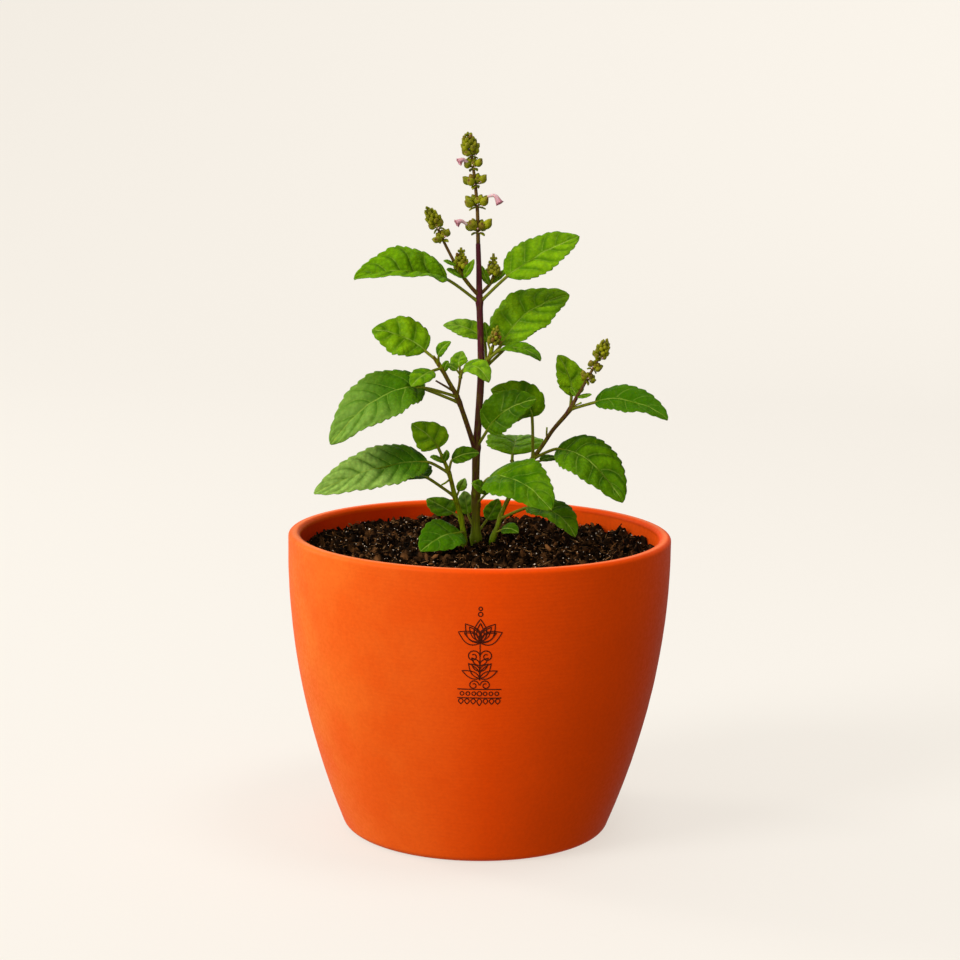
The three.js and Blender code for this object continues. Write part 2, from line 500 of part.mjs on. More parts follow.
/** Half width of a leaf along its midrib: an ovate outline, widest before the middle. */
function halfWidth(leaf, u) {
  const outline = Math.sin(Math.PI * u ** OUTLINE_SKEW) ** OUTLINE_FULLNESS;
  return Math.max(SMALLEST_HALF_WIDTH, (leaf.width / 2) * outline);
}

/** The midrib as a quadratic curve through base, middle and tip. */
function midrib(leaf) {
  const [base, mid, tip] = [vec(leaf.base), vec(leaf.mid), vec(leaf.tip)];
  const control = mid.multiplyScalar(2).sub(base.clone().add(tip).multiplyScalar(0.5));
  return new THREE.QuadraticBezierCurve3(base, control, tip);
}

/** A leaf as a function of u along the midrib and v across it, from -1 to 1. */
function bladeSurface(leaf) {
  const rib = midrib(leaf);
  const face = vec(leaf.face).normalize();
  const fold = THREE.MathUtils.degToRad(leaf.fold);
  return (u, v) => {
    const along = rib.getTangent(u).normalize();
    const side = new THREE.Vector3().crossVectors(along, face).normalize();
    const up = new THREE.Vector3().crossVectors(side, along);
    const reach = halfWidth(leaf, u);
    const lift = Math.abs(v) * Math.sin(fold) - CAMBER * v * v;
    return rib.getPoint(u)
      .addScaledVector(side, reach * v * Math.cos(fold))
      .addScaledVector(up, reach * lift);
  };
}

/** Rings round a toothed blade: under its surface from right to left, and back over the top. */
function bladeRings(leaf, columns) {
  const rows = 2 * Math.max(2, Math.round(midrib(leaf).getLength() / TOOTH_PITCH));
  const surface = bladeSurface(leaf);
  const step = 0.01;
  const rings = [];
  for (let i = 0; i <= rows; i += 1) {
    const under = [];
    const over = [];
    for (let j = 0; j <= columns; j += 1) {
      const edge = j === 0 || j === columns;
      const notch = edge && i % 2 === 0;
      const lean = edge && i % 2 === 1 ? TOOTH_LEAN : 0;
      const u = (i + lean) / rows;
      const v = ((2 * j) / columns - 1) * (notch ? 1 - TOOTH_DEPTH : 1);
      const alongU = surface(Math.min(1, u + step), v).sub(surface(Math.max(0, u - step), v));
      const alongV = surface(u, v + step).sub(surface(u, v - step));
      const normal = alongV.cross(alongU).normalize();
      over.push(surface(u, v).addScaledVector(normal, BLADE_THICKNESS / 2));
      under.push(surface(u, v).addScaledVector(normal, -BLADE_THICKNESS / 2));
    }
    rings.push([...under.reverse(), ...over]);
  }
  return rings;
}

/** Rings round the stalk, with as many points as the blade's, up to just before its base. */
function stalkRings(leaf, points) {
  const onBlade = midrib(leaf).getPoint(STALK_RUN);
  const path = new THREE.CatmullRomCurve3([vec(leaf.from), vec(leaf.base), onBlade]);
  const face = vec(leaf.face);
  const radius = Math.min(PETIOLE_RADIUS, PETIOLE_LEAST + leaf.width * PETIOLE_GROWTH);
  return STALK_PLACES.map((t) => {
    const along = path.getTangent(t).normalize();
    const side = new THREE.Vector3().crossVectors(along, face).normalize();
    const up = new THREE.Vector3().crossVectors(side, along);
    return Array.from({ length: points }, (_, k) => {
      const angle = (-(2 * k + 1) * Math.PI) / points;
      return path.getPoint(t)
        .addScaledVector(side, radius * Math.cos(angle))
        .addScaledVector(up, radius * Math.sin(angle));
    });
  });
}

/** Stalk and blade as one closed skin, its two faces split into triangles alike. */
function leafSolid(leaf) {
  const columns = midrib(leaf).getLength() < NARROW_LEAF ? 2 : 4;
  const stalk = leaf.from ? stalkRings(leaf, 2 * (columns + 1)) : [];
  return solidOf(loft([...stalk, ...bladeRings(leaf, columns)]));
}

// ---------------------------------------------------------------- flower spikes

/** A closed calyx: narrow at the root, full at two thirds, blunt at its mouth. */
function bud(root, along, length, size) {
  return solidOf(loft(BUD_SHAPE.map(([share, width]) => {
    const centre = root.clone().addScaledVector(along, length * share);
    return ring(centre, along, size * width, BUD_SIDES, Math.PI / BUD_SIDES);
  })));
}

/** The dense head of a spike: layers of buds as relief on an egg-shaped form. */
function headSolid(curve, { from, layers, reach }) {
  const rings = [];
  const points = 2 * HEAD_BUDS;
  for (let k = 0; k <= 2 * layers; k += 1) {
    const share = k / (2 * layers);
    const at = from + (1 - from) * share;
    const radius = reach * Math.sin(Math.PI * (HEAD_FOOT + (1 - HEAD_FOOT) * share)) + HEAD_TIP;
    const bulge = k % 2 === 1;
    const layer = (k - 1) / 2;
    const along = curve.getTangent(at).normalize();
    const centre = curve.getPoint(at);
    const round = ring(centre, along, radius, points);
    rings.push(round.map((point, j) => {
      const proud = bulge && (j + layer) % 2 === 0;
      return point.lerp(centre, proud ? 0 : HEAD_HOLLOW);
    }));
  }
  return solidOf(loft(rings));
}

function spikeSolid(spike) {
  const curve = new THREE.CatmullRomCurve3(spike.rachis.map(vec), false, 'centripetal');
  const rachisEnd = spike.head.from + RACHIS_END * (1 - spike.head.from);
  const rachis = solidOf(tube(spike.rachis, RACHIS_SIDES, 0, rachisEnd));
  const pieces = [rachis, headSolid(curve, spike.head)];
  spike.rings.forEach(({ at, buds, reach, size }, k) => {
    const along = curve.getTangent(at).normalize();
    for (const spoke of ring(new THREE.Vector3(), along, 1, buds, k * RING_TURN)) {
      const out = spoke.addScaledVector(along, BUD_RISE).normalize();
      pieces.push(bud(curve.getPoint(at), out, reach, size));
    }
  });
  for (const points of spike.corollas ?? []) {
    const rows = points.map((point, k) => [...point, COROLLA_RADII[k]]);
    pieces.push(solidOf(tube(rows, RACHIS_SIDES)));
  }
  return pieces.reduce((all, piece) => all.add(piece));
}

// ---------------------------------------------------------------- the assembled plant

const plant = new THREE.Group();
const room = new Map(); // each stem with the gap added, to cut from what grows on it

for (const stem of STEMS) {
  const tubes = [stem.rows, ...(stem.twigs ?? [])];
  const grown = tubes.map((rows) => solidOf(tube(rows, stem.sides, GAP)));
  room.set(stem.name, grown.reduce((a, b) => a.add(b)));
  const own = tubes.map((rows) => solidOf(tube(rows, stem.sides)));
  const young = LEAFLETS.filter((leaf) => leaf.on === stem.name).map(leafSolid);
  const whole = [...own, ...young].reduce((a, b) => a.add(b));
  const cut = stem.on ? largest(whole.subtract(room.get(stem.on))) : whole;
  plant.add(meshOf(stem.name, cut, stem.tone));
}
for (const leaf of LEAVES) {
  const cut = largest(leafSolid(leaf).subtract(room.get(leaf.on)));
  plant.add(meshOf(leaf.name, cut, leaf.tone));
}
for (const spike of SPIKES) {
  const cut = largest(spikeSolid(spike).subtract(room.get(spike.on)));
  plant.add(meshOf(spike.name, cut, 'bud'));
}
const rooted = STEMS.filter((stem) => !stem.on).map((stem) => room.get(stem.name));
plant.add(meshOf('soil', soilSolid(rooted), 'soil'));
plant.add(meshOf('pot', potSolid(), 'terracotta'));

export default plant;
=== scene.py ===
from collections import namedtuple

import bpy
import numpy as np
from mathutils import Matrix


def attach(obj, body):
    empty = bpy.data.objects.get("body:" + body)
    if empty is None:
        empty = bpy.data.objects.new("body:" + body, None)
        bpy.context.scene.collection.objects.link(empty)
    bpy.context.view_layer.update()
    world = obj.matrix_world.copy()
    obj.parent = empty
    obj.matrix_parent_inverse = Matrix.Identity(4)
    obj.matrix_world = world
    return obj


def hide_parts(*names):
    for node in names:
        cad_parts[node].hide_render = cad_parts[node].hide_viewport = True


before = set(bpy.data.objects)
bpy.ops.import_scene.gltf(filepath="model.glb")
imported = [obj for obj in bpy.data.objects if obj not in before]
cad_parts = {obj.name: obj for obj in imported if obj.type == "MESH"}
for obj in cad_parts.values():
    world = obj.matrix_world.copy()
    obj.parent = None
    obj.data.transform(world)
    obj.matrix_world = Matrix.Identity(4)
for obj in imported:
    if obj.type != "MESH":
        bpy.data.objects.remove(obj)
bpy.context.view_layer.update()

# A young holy basil in a round terracotta pot. The tables and lengths are in millimetres, as in
# the part's source, and the meshes in metres. +X is right and -Y is the front. Every piece rides
# on the one body, and a piece stands for the solid whose name it begins with.

MM = 0.001
BODY = "root"

# ---------------------------------------------------------------- driving dimensions

# Pot and soil, with the names and values of the part's source
POT_HEIGHT = 126
RIM_RADIUS = 80
FOOT_TAPER = 24.8
BELLY_HEIGHT = 120
WALL = 5
FLOOR = 6
FOOT_FILLET = 4.9
LIP_FILLET = 1.8
SOIL_LEVEL = 119.2
SOIL_FALL = 1.7
SOIL_LUMP = 0.6
SOIL_ROLL = (7.1, 6.3)
SOIL_PHASE = (1.3, -0.4)
SOIL_RIPPLE = 4.2
SOIL_SLANT = 1.4
SOIL_SHARE = 0.6
SOIL_CLEARANCE = 0.42

# Pot and soil, beyond the part's source
POT_SIDES = 288
WALL_STEPS = 70
LIP_HIGHLIGHT_SPREAD = 1.3  # half the width of the lip's band of painted highlight
POT_DRAWN = 0.05  # how far in the hand has drawn the clay, on the average
INNER_POINTS = 53  # of the profile, down the inner wall and over the floor
SOIL_SIDES = 300
SOIL_RINGS = 150
CRUMBS = 8000
CRUMB_SIZE = 0.42
CRUMB_LIMITS = (0.22, 1.5)
GRAINS = 1100
GRAIN_RADII = (0.13, 0.3)
FIBRES = 700
FIBRE_LENGTHS = (0.8, 2.3)
FIBRE_WIDTHS = (0.1, 0.3)

# The painted ornament
ORNAMENT_CENTRE = (0.8, 95.2)  # along the wall's front, and height
LINE_WIDTH = 0.42
LINE_PROUD = 0.07
LINE_SUNK = 0.12

# Leaves
LARGE_WIDTH = 24  # from here up a leaf has its full relief
OUTLINE_SKEW = 0.8
OUTLINE_FULLNESS = 0.64
CAMBER = 0.12
FOLD_SOFTNESS = 0.04
BLADE_THICKNESS = 0.55
SMALLEST_HALF_WIDTH = 0.3
TOOTH_PITCH = 3.7
TOOTH_POINT = 0.78  # where on its pitch a tooth stands out most
TOOTH_DEPTH = 0.95  # at the largest leaves
TOOTH_SHARE = 0.045  # of the width, at the others
ROWS_PER_TOOTH = 6
COLUMN_PITCH = 0.8
VEIN_PITCH = 6.6  # along the midrib
VEIN_SWEEP = 0.30  # how far a vein runs towards the tip, as a share of the leaf's length
PUFF_HEIGHT = 1.0  # of the blade between its veins
GROOVE_DEPTH = 0.18  # over the midrib
GROOVE_WIDTH = 0.5
# width of the painted shade beside the side veins
CREASE_SHADE_WIDTH = 0.8
# width of the painted highlight along the margin
EDGE_HIGHLIGHT_WIDTH = 0.35
FADE_START = 0.56
PETIOLE_RADIUS = 0.65
PETIOLE_LEAST = 0.3
PETIOLE_GROWTH = 0.03
STALK_RUN = 0.2
STALK_SIDES = 10
STALK_STEPS = 13
RIB_END = 0.86
LEAFLET_FOLD = 15

# Stems and flower spikes
SIDE_HINT = (0.35, -1, 0.12)
STEM_SIDES = 16
STEM_STEP = 0.8  # distance between rings
ROOT_SWELL = 0.4  # how much thicker a stem is where it leaves the soil
ROOT_CENTRE = 122.5
BRACT_FOLD = 18
BUD_RISE = 0.62
RING_TURN = 0.6
COROLLA_RADII = (0.6, 1.0, 1.7)
COROLLA_SIDES = 20

# ---------------------------------------------------------------- the plant, in listed points

# Each stem: its slot, how woody it is at its start and end, from green at 0 to purple brown at
# 1, how thick it is beside its solid, and curves of (x, y, z, radius): its own and its twigs'
STEMS = {
    "stem_main": ("stem", (0.48, 1.15), 0.93, [
        [(-1.4, 0, 98, 1.5), (-1.5, 0, 120, 1.9), (-1.8, 0, 141, 1.9), (-2, 0, 148, 1.7),
         (-1.9, 0, 161, 1.8), (-1.3, 0, 173, 1.6), (-0.5, 0, 192, 1.6), (-0.9, 0, 207, 1.4),
         (-1.6, 0, 223, 1.5), (-2, 0, 235, 1.2), (-2.5, 0, 246, 1.05)]]),
    "branch_left": ("stem", (0.82, 0.45), 0.88, [
        [(-2, 0, 159.5, 1.3), (-4.7, -3, 168, 1.2), (-7.3, -6, 176, 1.15), (-10.2, -9, 184, 1.15),
         (-13.6, -11, 190.3, 1), (-17, -12, 196.5, 1), (-20.2, -13, 201, 0.75)],
        [(-11.2, -9.6, 186, 0.6), (-15, -10.5, 188.4, 0.5), (-19, -11.5, 190.8, 0.4)],
        [(-10.2, -9, 184.2, 0.7), (-9.2, -9.4, 190, 0.65), (-8.8, -9, 194.4, 0.6)]]),
    "branch_low_left": ("twig", (0.0, 0.42), 0.88, [
        [(-5.8, -5, 98, 1), (-6.3, -5, 121, 1.3), (-7, -5, 127.5, 1.2), (-8.3, -5, 134.3, 1.2),
         (-10.5, -7, 142, 1.1), (-13.1, -9, 152.2, 1), (-16.2, -10, 159.6, 0.8)],
        [(-12.6, -8.4, 149.6, 0.5), (-14.2, -10, 148.4, 0.45), (-16, -11.6, 147.6, 0.4)]]),
    "branch_right": ("twig", (0.15, 0.8), 0.78, [
        [(4.6, 3, 98, 1), (5, 3, 120, 1.3), (7.2, 3, 127, 1.3), (10, 5, 135.3, 1.2),
         (15.7, 7, 146, 1.2), (21.9, 8, 156, 1.3), (26, 8, 162, 1.1), (30, 7, 168.5, 1.1),
         (36.5, 5, 177, 1.2), (40.4, 4, 184.6, 0.9)],
        [(37.4, 4.9, 178.6, 0.5), (39.3, 3.6, 179.6, 0.4), (41.4, 2.4, 180.8, 0.5)],
        [(13, 6, 141.4, 0.8), (12.6, 11, 149, 0.7), (13.4, 15, 154.6, 0.6)],
        [(27.6, 7.6, 164.4, 0.6), (27.4, 8, 167, 0.5), (27.5, 8.4, 169.4, 0.45)]]),
    "shoot_upper_left": ("twig", (0.75, 0.4), 0.93, [
        [(-1.8, 0, 224.8, 0.9), (-5.2, -1.6, 228.6, 0.85), (-8.5, -3.6, 233, 0.9),
         (-12.4, -6, 239.6, 0.75)]]),
    "shoot_upper_right": ("twig", (0.7, 0.4), 0.93, [
        [(-1.7, 0.3, 225.2, 0.8), (0.8, 2, 227.4, 0.75), (3, 3.4, 230, 0.75), (4.1, 4, 232.6, 0.8)]]),
    "shoot_mid_right": ("twig", (0.35, 0.3), 0.93, [
        [(-0.5, 0, 191.4, 0.9), (1.9, -2, 197, 0.85), (3.5, -3, 202, 0.8), (4.2, -4, 204.6, 0.75)]]),
}

# Each leaf: its name, where its stalk starts, the blade's base, middle and tip, its width, the
# way it faces, its fold in degrees, its tone, how much lighter it is than that, which is partly
# its own tone and partly painted light and shade, and how faded
LEAVES = [
    ("top_left", (-1.8, 0, 222.2), (-15, -3, 231.6), (-33, -10, 235.4), (-52.6, -14, 232), 26,
     (0, -0.52, 0.85), 30, "deep", 1.0, 0),
    ("top_right", (-1.5, 0, 222.2), (9.5, -1, 233), (23.4, 4, 242), (39.2, 9, 249.4), 22,
     (-0.25, -0.72, 0.65), 12, "fresh", 0.1, 0),
    ("mid_right", (2.7, -2.5, 199.4), (7.6, 0.2, 204.4), (18.8, 7, 217.4), (35.8, 15, 224.6), 27,
     (-0.42, -0.72, 0.55), 16, "fresh", 0.15, 0),
    ("mid_right_low", (2.5, -2.4, 199), (7.4, -6.6, 203.4), (16.1, -12, 204.2),
     (23.6, -16.6, 200.2), 12, (0.1, -0.3, 0.95), 15, "deep", 0, 0),
    ("mid_back", (1.6, -1.8, 196.4), (0.4, 4, 206.4), (-7.3, 10, 210.4), (-16.6, 16, 210.8), 10.5,
     (0, -0.68, 0.73), 12, "fresh", 0.35, 0.2),
    ("mid_far", (1.1, -1.4, 195.2), (10.6, 10, 203.6), (19.6, 23, 213), (28.6, 38, 212), 18,
     (0.1, -0.1, 1), 12, "deep", -0.3, 0),
    ("mid_young", (3.5, -3, 201.8), (2.2, 0.6, 205.4), (1.4, 3.6, 209.6), (0.6, 5, 213.5), 5,
     (0, -0.9, 0.4), 20, "deep", 0.9, 0),
    ("left_large", (-10.2, -9, 184), (-23.4, -14, 188), (-42.4, -22, 184), (-60.8, -29, 166.4), 28,
     (-0.3, -0.66, 0.68), 12, "fresh", -0.7, 0.5),
    ("left_far", (-9.2, -8, 181.4), (-24.6, -3, 186.4), (-36, 8, 185), (-47, 23, 178), 17,
     (-0.1, -0.1, 1), 12, "deep", -0.5, 0),
    ("left_inner", (-17, -12, 196), (-20.4, -15, 195.2), (-24.6, -19.5, 193.4), (-28.6, -23, 189.6),
     11, (-0.2, -0.6, 0.75), 12, "fresh", -0.15, 0),
    ("left_high", (-18.4, -12.5, 199), (-23.4, -11, 202.8), (-33.4, -8, 208.6), (-45.7, -3, 210.2),
     20, (0.1, -0.8, 0.6), 10, "fresh", 0.3, 0),
    ("left_small", (-17.8, -12.3, 198), (-17.9, -14.6, 201.4), (-16.4, -16, 204.6),
     (-13, -16, 207.4), 6, (-0.6, -0.7, 0.3), 15, "fresh", -0.1, 0),
    ("left_front", (-9, -9.2, 192), (-7.8, -11, 195.4), (-2.6, -15, 197), (2.8, -19, 191.4), 12.5,
     (0.2, -0.6, 0.78), 12, "fresh", 0.1, 0.1),
    ("left_back", (-8.9, -9.1, 193.4), (-9.4, -6.8, 196), (-9.6, -4, 198.7), (-8.2, -1.6, 202), 8,
     (-0.2, -0.8, 0.6), 15, "fresh", 0.5, 0.2),
    ("left_young", (-9, -9.2, 193), (-10.4, -10, 195), (-12.2, -9.6, 196.4), (-14.4, -9.6, 197.2),
     4, (0, -0.8, 0.6), 15, "fresh", 0.3, 0.5),
    ("centre_front", (-1.9, 0, 161.5), (2.3, -5, 169.4), (9.6, -9, 178.4), (22.2, -13, 184), 19,
     (-0.4, -0.8, 0.45), 14, "deep", -0.25, 0),
    ("centre_right", (21.9, 8, 156), (21.1, 6, 174), (16.8, 4.2, 180.9), (3.7, 2.4, 185.6), 19.5,
     (0.2, -0.85, 0.5), 10, "fresh", 0, 0),
    ("back_large", (13.2, 14.4, 153.8), (13.4, 18, 156), (14.8, 32, 159.6), (16, 47, 160), 26,
     (0, -0.1, 1), 10, "deep", 1.0, 0.3),
    ("right_large", (22, 8, 156.2), (31.8, 5, 160.8), (46.2, -5, 156.3), (58.6, -15, 142), 25.5,
     (0.3, -0.72, 0.62), 12, "deep", 0, 0),
    ("right_inner", (21, 8, 154.6), (25, 10, 154.8), (29, 12.4, 155.6), (33, 14, 155.1), 6,
     (0, -0.4, 0.9), 15, "deep", 0, 0),
    ("right_upper", (37, 4.9, 178), (37.4, 7.4, 182.8), (36.4, 9.6, 190.8), (31.5, 12, 199.4), 14,
     (0.3, -0.85, 0.3), 14, "fresh", 0.6, 0),
    ("right_outer", (36.9, 4.8, 177.6), (47, 2.4, 181), (61.8, -2.5, 182.4), (76.6, -9, 175.7), 19,
     (0.1, -0.55, 0.82), 12, "fresh", -0.8, 0),
    ("front_large", (-1.8, 0, 142), (3.3, -8, 150), (15, -20, 151), (28.8, -32, 141.2), 28,
     (0.1, -0.6, 0.8), 10, "fresh", -0.3, 0),
    ("front_small", (-1.8, 0, 137.4), (2.8, -7.6, 144.6), (0, -12, 147), (-3.6, -15, 149), 7,
     (-0.3, -0.8, 0.5), 12, "deep", 0.8, 0),
    ("low_right", (8.6, 3.7, 131), (19.4, 0, 136.4), (30.6, -7, 136), (39.4, -14, 127), 18,
     (0.35, -0.5, 0.78), 12, "deep", 0, 0),
    ("low_right_small", (6.6, 3, 125), (9, -1.4, 127), (12.4, -4.6, 128.4), (16, -8, 127.2), 7,
     (0, -0.6, 0.8), 12, "deep", -0.35, 0),
    ("low_front", (-6.9, -5, 126.6), (-7.6, -9.4, 127.2), (-15.5, -18, 127.2), (-23.9, -27, 122.6),
     19, (-0.1, -0.68, 0.73), 10, "fresh", -0.8, 0),
    ("low_left_long", (-13.1, -9, 152.2), (-21.7, -13, 157.2), (-42, -20, 155.6),
     (-67.6, -26, 145.6), 24.5, (-0.05, -0.62, 0.78), 10, "pale", -0.55, 1.7),
    ("low_left_under", (-10.5, -7, 142), (-22, -9, 150), (-30.4, 2, 150.4), (-38, 14, 148), 17,
     (-0.1, -0.3, 0.95), 14, "deep", -0.85, 0),
    ("low_left_top", (-16.1, -9.9, 159.4), (-17.6, -9.8, 162.6), (-21.2, -9, 167.2),
     (-28.9, -6, 172), 16, (0.2, -0.85, 0.48), 10, "fresh", 0.5, 0),
    ("low_left_inner", (-13.2, -9.1, 152.6), (-11.9, -11, 157.8), (-7, -12, 160.4),
     (-0.8, -11, 161), 8.5, (0, -0.7, 0.7), 14, "deep", 0, 0),
    ("low_left_back", (-7.8, -5, 132), (-11, 0, 133.6), (-16.4, 4.6, 135.6), (-22.5, 9, 138), 12,
     (0, -0.5, 0.85), 12, "deep", 0.2, 0),
    ("low_left_curled", (-10.2, -6.7, 141), (-8.9, -8.6, 144.7), (-7.6, -10, 147.8),
     (-6.4, -10.6, 150.3), 5, (0.3, -0.9, 0.3), 25, "fresh", 0.9, 0.9),
    ("low_back_pale", (-1.7, 0, 126), (-5, 7, 132), (-6, 11, 136.4), (-6.9, 14, 140.7), 8,
     (0, -0.8, 0.6), 12, "pale", 1.0, 1.0),
    ("low_back_dark", (-1.6, 0, 124.4), (3, 8, 129.6), (5.6, 12, 133.2), (7.6, 15, 137.4), 8,
     (0, -0.8, 0.6), 12, "deep", 0.6, 0),
]

# Young leaves at each tip: base, middle and tip, width and the way it faces
LEAFLETS = {
    "branch_left": [
        ((-15.8, -11.6, 194.6), (-14.8, -12.8, 197.6), (-13.8, -13, 199), 3.4, (0, -0.9, 0.3))],
    "branch_low_left": [
        ((-15, -9.6, 156.6), (-18.4, -12, 158.6), (-20.8, -13.4, 159.4), 4, (0, -0.6, 0.8)),
        ((-15.2, -9.7, 157.2), (-14.2, -12.8, 160.4), (-14.2, -13.4, 162.4), 3, (0, -0.9, 0.3))],
    "branch_right": [
        ((39.8, 4.1, 183), (38.4, 5.8, 185), (37, 6.6, 186.6), 3.6, (0, -0.6, 0.8)),
        ((39.9, 4.1, 183), (43, 2, 183.6), (45.4, 0.6, 184.6), 3.4, (0, -0.6, 0.8))],
    "shoot_upper_left": [
        ((-8.1, -3.4, 232.4), (-12.4, -6.8, 234.8), (-15.2, -8, 236.2), 4.6, (0, -0.6, 0.8)),
        ((-8.4, -3.6, 232.8), (-6, -7.2, 236.4), (-4.1, -8.6, 240.4), 4, (-0.4, -0.9, 0.3)),
        ((-11.6, -5.5, 238), (-14, -8, 238.8), (-16.4, -9.6, 239.8), 3.6, (0, -0.6, 0.8))],
    "shoot_upper_right": [
        ((2.4, 3, 229.4), (0.2, 1.2, 233.4), (-1, 0.4, 237.2), 3.6, (0, -0.9, 0.4)),
        ((2.4, 3.2, 229.4), (6.6, 7.4, 232.6), (9.4, 9, 235.2), 3.6, (0, -0.6, 0.8))],
}

# Each spike: its stalk as (x, y, z, radius), its rings of cups as (share of the stalk, small
# cups in front and behind, reach, size), and its head as (share of the stalk, tiers, reach)
SPIKES = {
    "spike_top": (
        [(-2.5, 0, 246.2, 0.9), (-3.2, 0, 262, 0.75), (-5.1, 0, 277.8, 0.65), (-7.6, 0, 292, 0.5)],
        [(0.1, 2, 7, 2.1), (0.32, 2, 6.2, 2), (0.5, 2, 5.7, 1.9), (0.65, 1, 5, 1.8),
         (0.76, 1, 4.4, 1.6)],
        (0.82, 6, 3.8)),
    "spike_upper_left": (
        [(-12.4, -6, 239.4, 0.65), (-16.8, -8, 248, 0.6), (-20, -9.6, 255, 0.55),
         (-23.8, -11.6, 261.8, 0.4)],
        [(0.34, 1, 4.6, 1.7), (0.56, 1, 4.1, 1.6)],
        (0.7, 5, 3.2)),
    "spike_upper_left_young": (
        [(-8.4, -3.5, 232.8, 0.6), (-9.3, -2.6, 237.4, 0.55), (-9.5, -2, 245.6, 0.4)],
        [],
        (0.36, 6, 3.5)),
    "spike_upper_right": (
        [(4, 4, 232.4, 0.6), (4, 4.2, 236, 0.55), (3.8, 4.4, 242.8, 0.4)],
        [],
        (0.12, 6, 3.4)),
    "spike_mid_right": (
        [(4.2, -4, 204.4, 0.55), (5, -4.6, 208, 0.5), (6.1, -5, 213.8, 0.35)],
        [],
        (0.2, 5, 3.1)),
    "spike_right": (
        [(40.4, 4, 184.4, 0.7), (44, 3, 191.4, 0.65), (48.4, 2, 200, 0.55), (51.6, 1, 208, 0.4)],
        [(0.28, 1, 4.2, 1.6), (0.48, 1, 3.9, 1.55), (0.65, 1, 3.5, 1.45)],
        (0.74, 5, 3.2)),
}
COROLLAS = [  # on the top spike, from the foot of each tube to its mouth
    [(1, -1.5, 265.6), (4, -2.2, 266), (6, -3, 262.8)],
    [(-7, -1.6, 279), (-9.2, -2.4, 280.4), (-11, -3, 279.4)],
    [(-7, -2.6, 254), (-9.6, -3.6, 255.6), (-11.6, -4.2, 254.6)],
]

# ---------------------------------------------------------------- surfaces as arrays

Shape = namedtuple("Shape", "points quads tris masks")


def unit(vectors):
    """Vectors over their own lengths."""
    return vectors / np.maximum(np.linalg.norm(vectors, axis=-1, keepdims=True), 1e-9)


def ripples(points, wavelength, seed, count=14):
    """Smooth noise of about -1 to 1: the sum of sine waves of nearly one wavelength, each in a
    random direction and phase, over the root of half their number."""
    rng = np.random.default_rng(seed)
    across = unit(rng.normal(size=(count, 3)))
    waves = 2 * np.pi * across / (wavelength * rng.uniform(0.7, 1.4, (count, 1)))
    phase = rng.uniform(0, 2 * np.pi, count)
    return np.sin(points @ waves.T + phase).sum(axis=-1) / np.sqrt(count / 2)


def curve_at(points, t):
    """A centripetal Catmull-Rom curve at shares t: between two points a cubic whose end slopes
    come from the neighbours, weighed by the roots of their distances."""
    p = np.asarray(points, float)
    p = np.vstack([2 * p[0] - p[1], p, 2 * p[-1] - p[-2]])
    place = np.clip(t, 0, 1) * (len(points) - 1)
    k = np.minimum(place.astype(int), len(points) - 2)
    w = (place - k)[:, None]
    p0, p1, p2, p3 = p[k], p[k + 1], p[k + 2], p[k + 3]
    d0, d1, d2 = (np.sqrt(np.linalg.norm(b - a, axis=1, keepdims=True))
                  for a, b in ((p0, p1), (p1, p2), (p2, p3)))
    m1 = ((p1 - p0) / d0 - (p2 - p0) / (d0 + d1) + (p2 - p1) / d1) * d1
    m2 = ((p2 - p1) / d1 - (p3 - p1) / (d1 + d2) + (p3 - p2) / d2) * d1
    return (p1 + w * m1 + w**2 * (3 * (p2 - p1) - 2 * m1 - m2)
            + w**3 * (2 * (p1 - p2) + m1 + m2))


def radius_at(rows, t):
    """The radius at shares t, straight between rows of (x, y, z, radius)."""
    return np.interp(t * (len(rows) - 1), np.arange(len(rows)), rows[:, 3])


def square_to(along, hint=SIDE_HINT):
    """Two directions square to `along` and to each other: the hint less its part along it, and
    the cross product of the two."""
    side = np.broadcast_to(np.asarray(hint, float), along.shape)
    side = unit(side - (side * along).sum(axis=-1, keepdims=True) * along)
    return side, np.cross(along, side)


def stand_on(curve, t):
    """Points of a curve at shares t, its direction there and two directions square to it."""
    here = curve_at(curve, t)
    along = unit(curve_at(curve, t + 0.01) - here)
    return here, along, *square_to(along)


def angles(sides):
    """Even angles round a circle."""
    return 2 * np.pi * np.arange(sides) / sides


def spokes(angle, side, other):
    """Directions round an axis: the cosine of the angle times one, its sine times the other."""
    return np.cos(angle)[:, None] * side + np.sin(angle)[:, None] * other


def capped(values):
    """What each point of a set of rings has, then the mean of the first ring and of the last."""
    return np.concatenate([values.reshape(-1, *values.shape[2:]), values[[0, -1]].mean(axis=1)])


def skin(rings, masks=None):
    """A closed skin over rings of points: quads between neighbours, and a fan of triangles from
    the middle of each end ring."""
    rows, n = rings.shape[:2]
    index = np.arange(rows * n).reshape(rows, n)
    turned = np.roll(index, -1, axis=1)
    quads = np.stack([index[:-1], turned[:-1], turned[1:], index[1:]], axis=-1).reshape(-1, 4)
    start = np.stack([np.full(n, rows * n), turned[0], index[0]], axis=-1)
    end = np.stack([np.full(n, rows * n + 1), index[-1], turned[-1]], axis=-1)
    return Shape(capped(rings), quads, np.vstack([start, end]),
                 {key: capped(np.broadcast_to(mask, (rows, n)))
                  for key, mask in (masks or {}).items()})


def join(shapes):
    """Several shapes as one: their points stacked and their faces' numbers shifted to match."""
    sizes = [len(shape.points) for shape in shapes]
    starts = np.cumsum([0] + sizes)
    keys = sorted({key for shape in shapes for key in shape.masks})
    return Shape(
        np.vstack([shape.points for shape in shapes]),
        np.vstack([shape.quads + k for shape, k in zip(shapes, starts)]),
        np.vstack([shape.tris + k for shape, k in zip(shapes, starts)]),
        {key: np.concatenate([shape.masks.get(key, np.zeros(size))
                              for shape, size in zip(shapes, sizes)]) for key in keys})


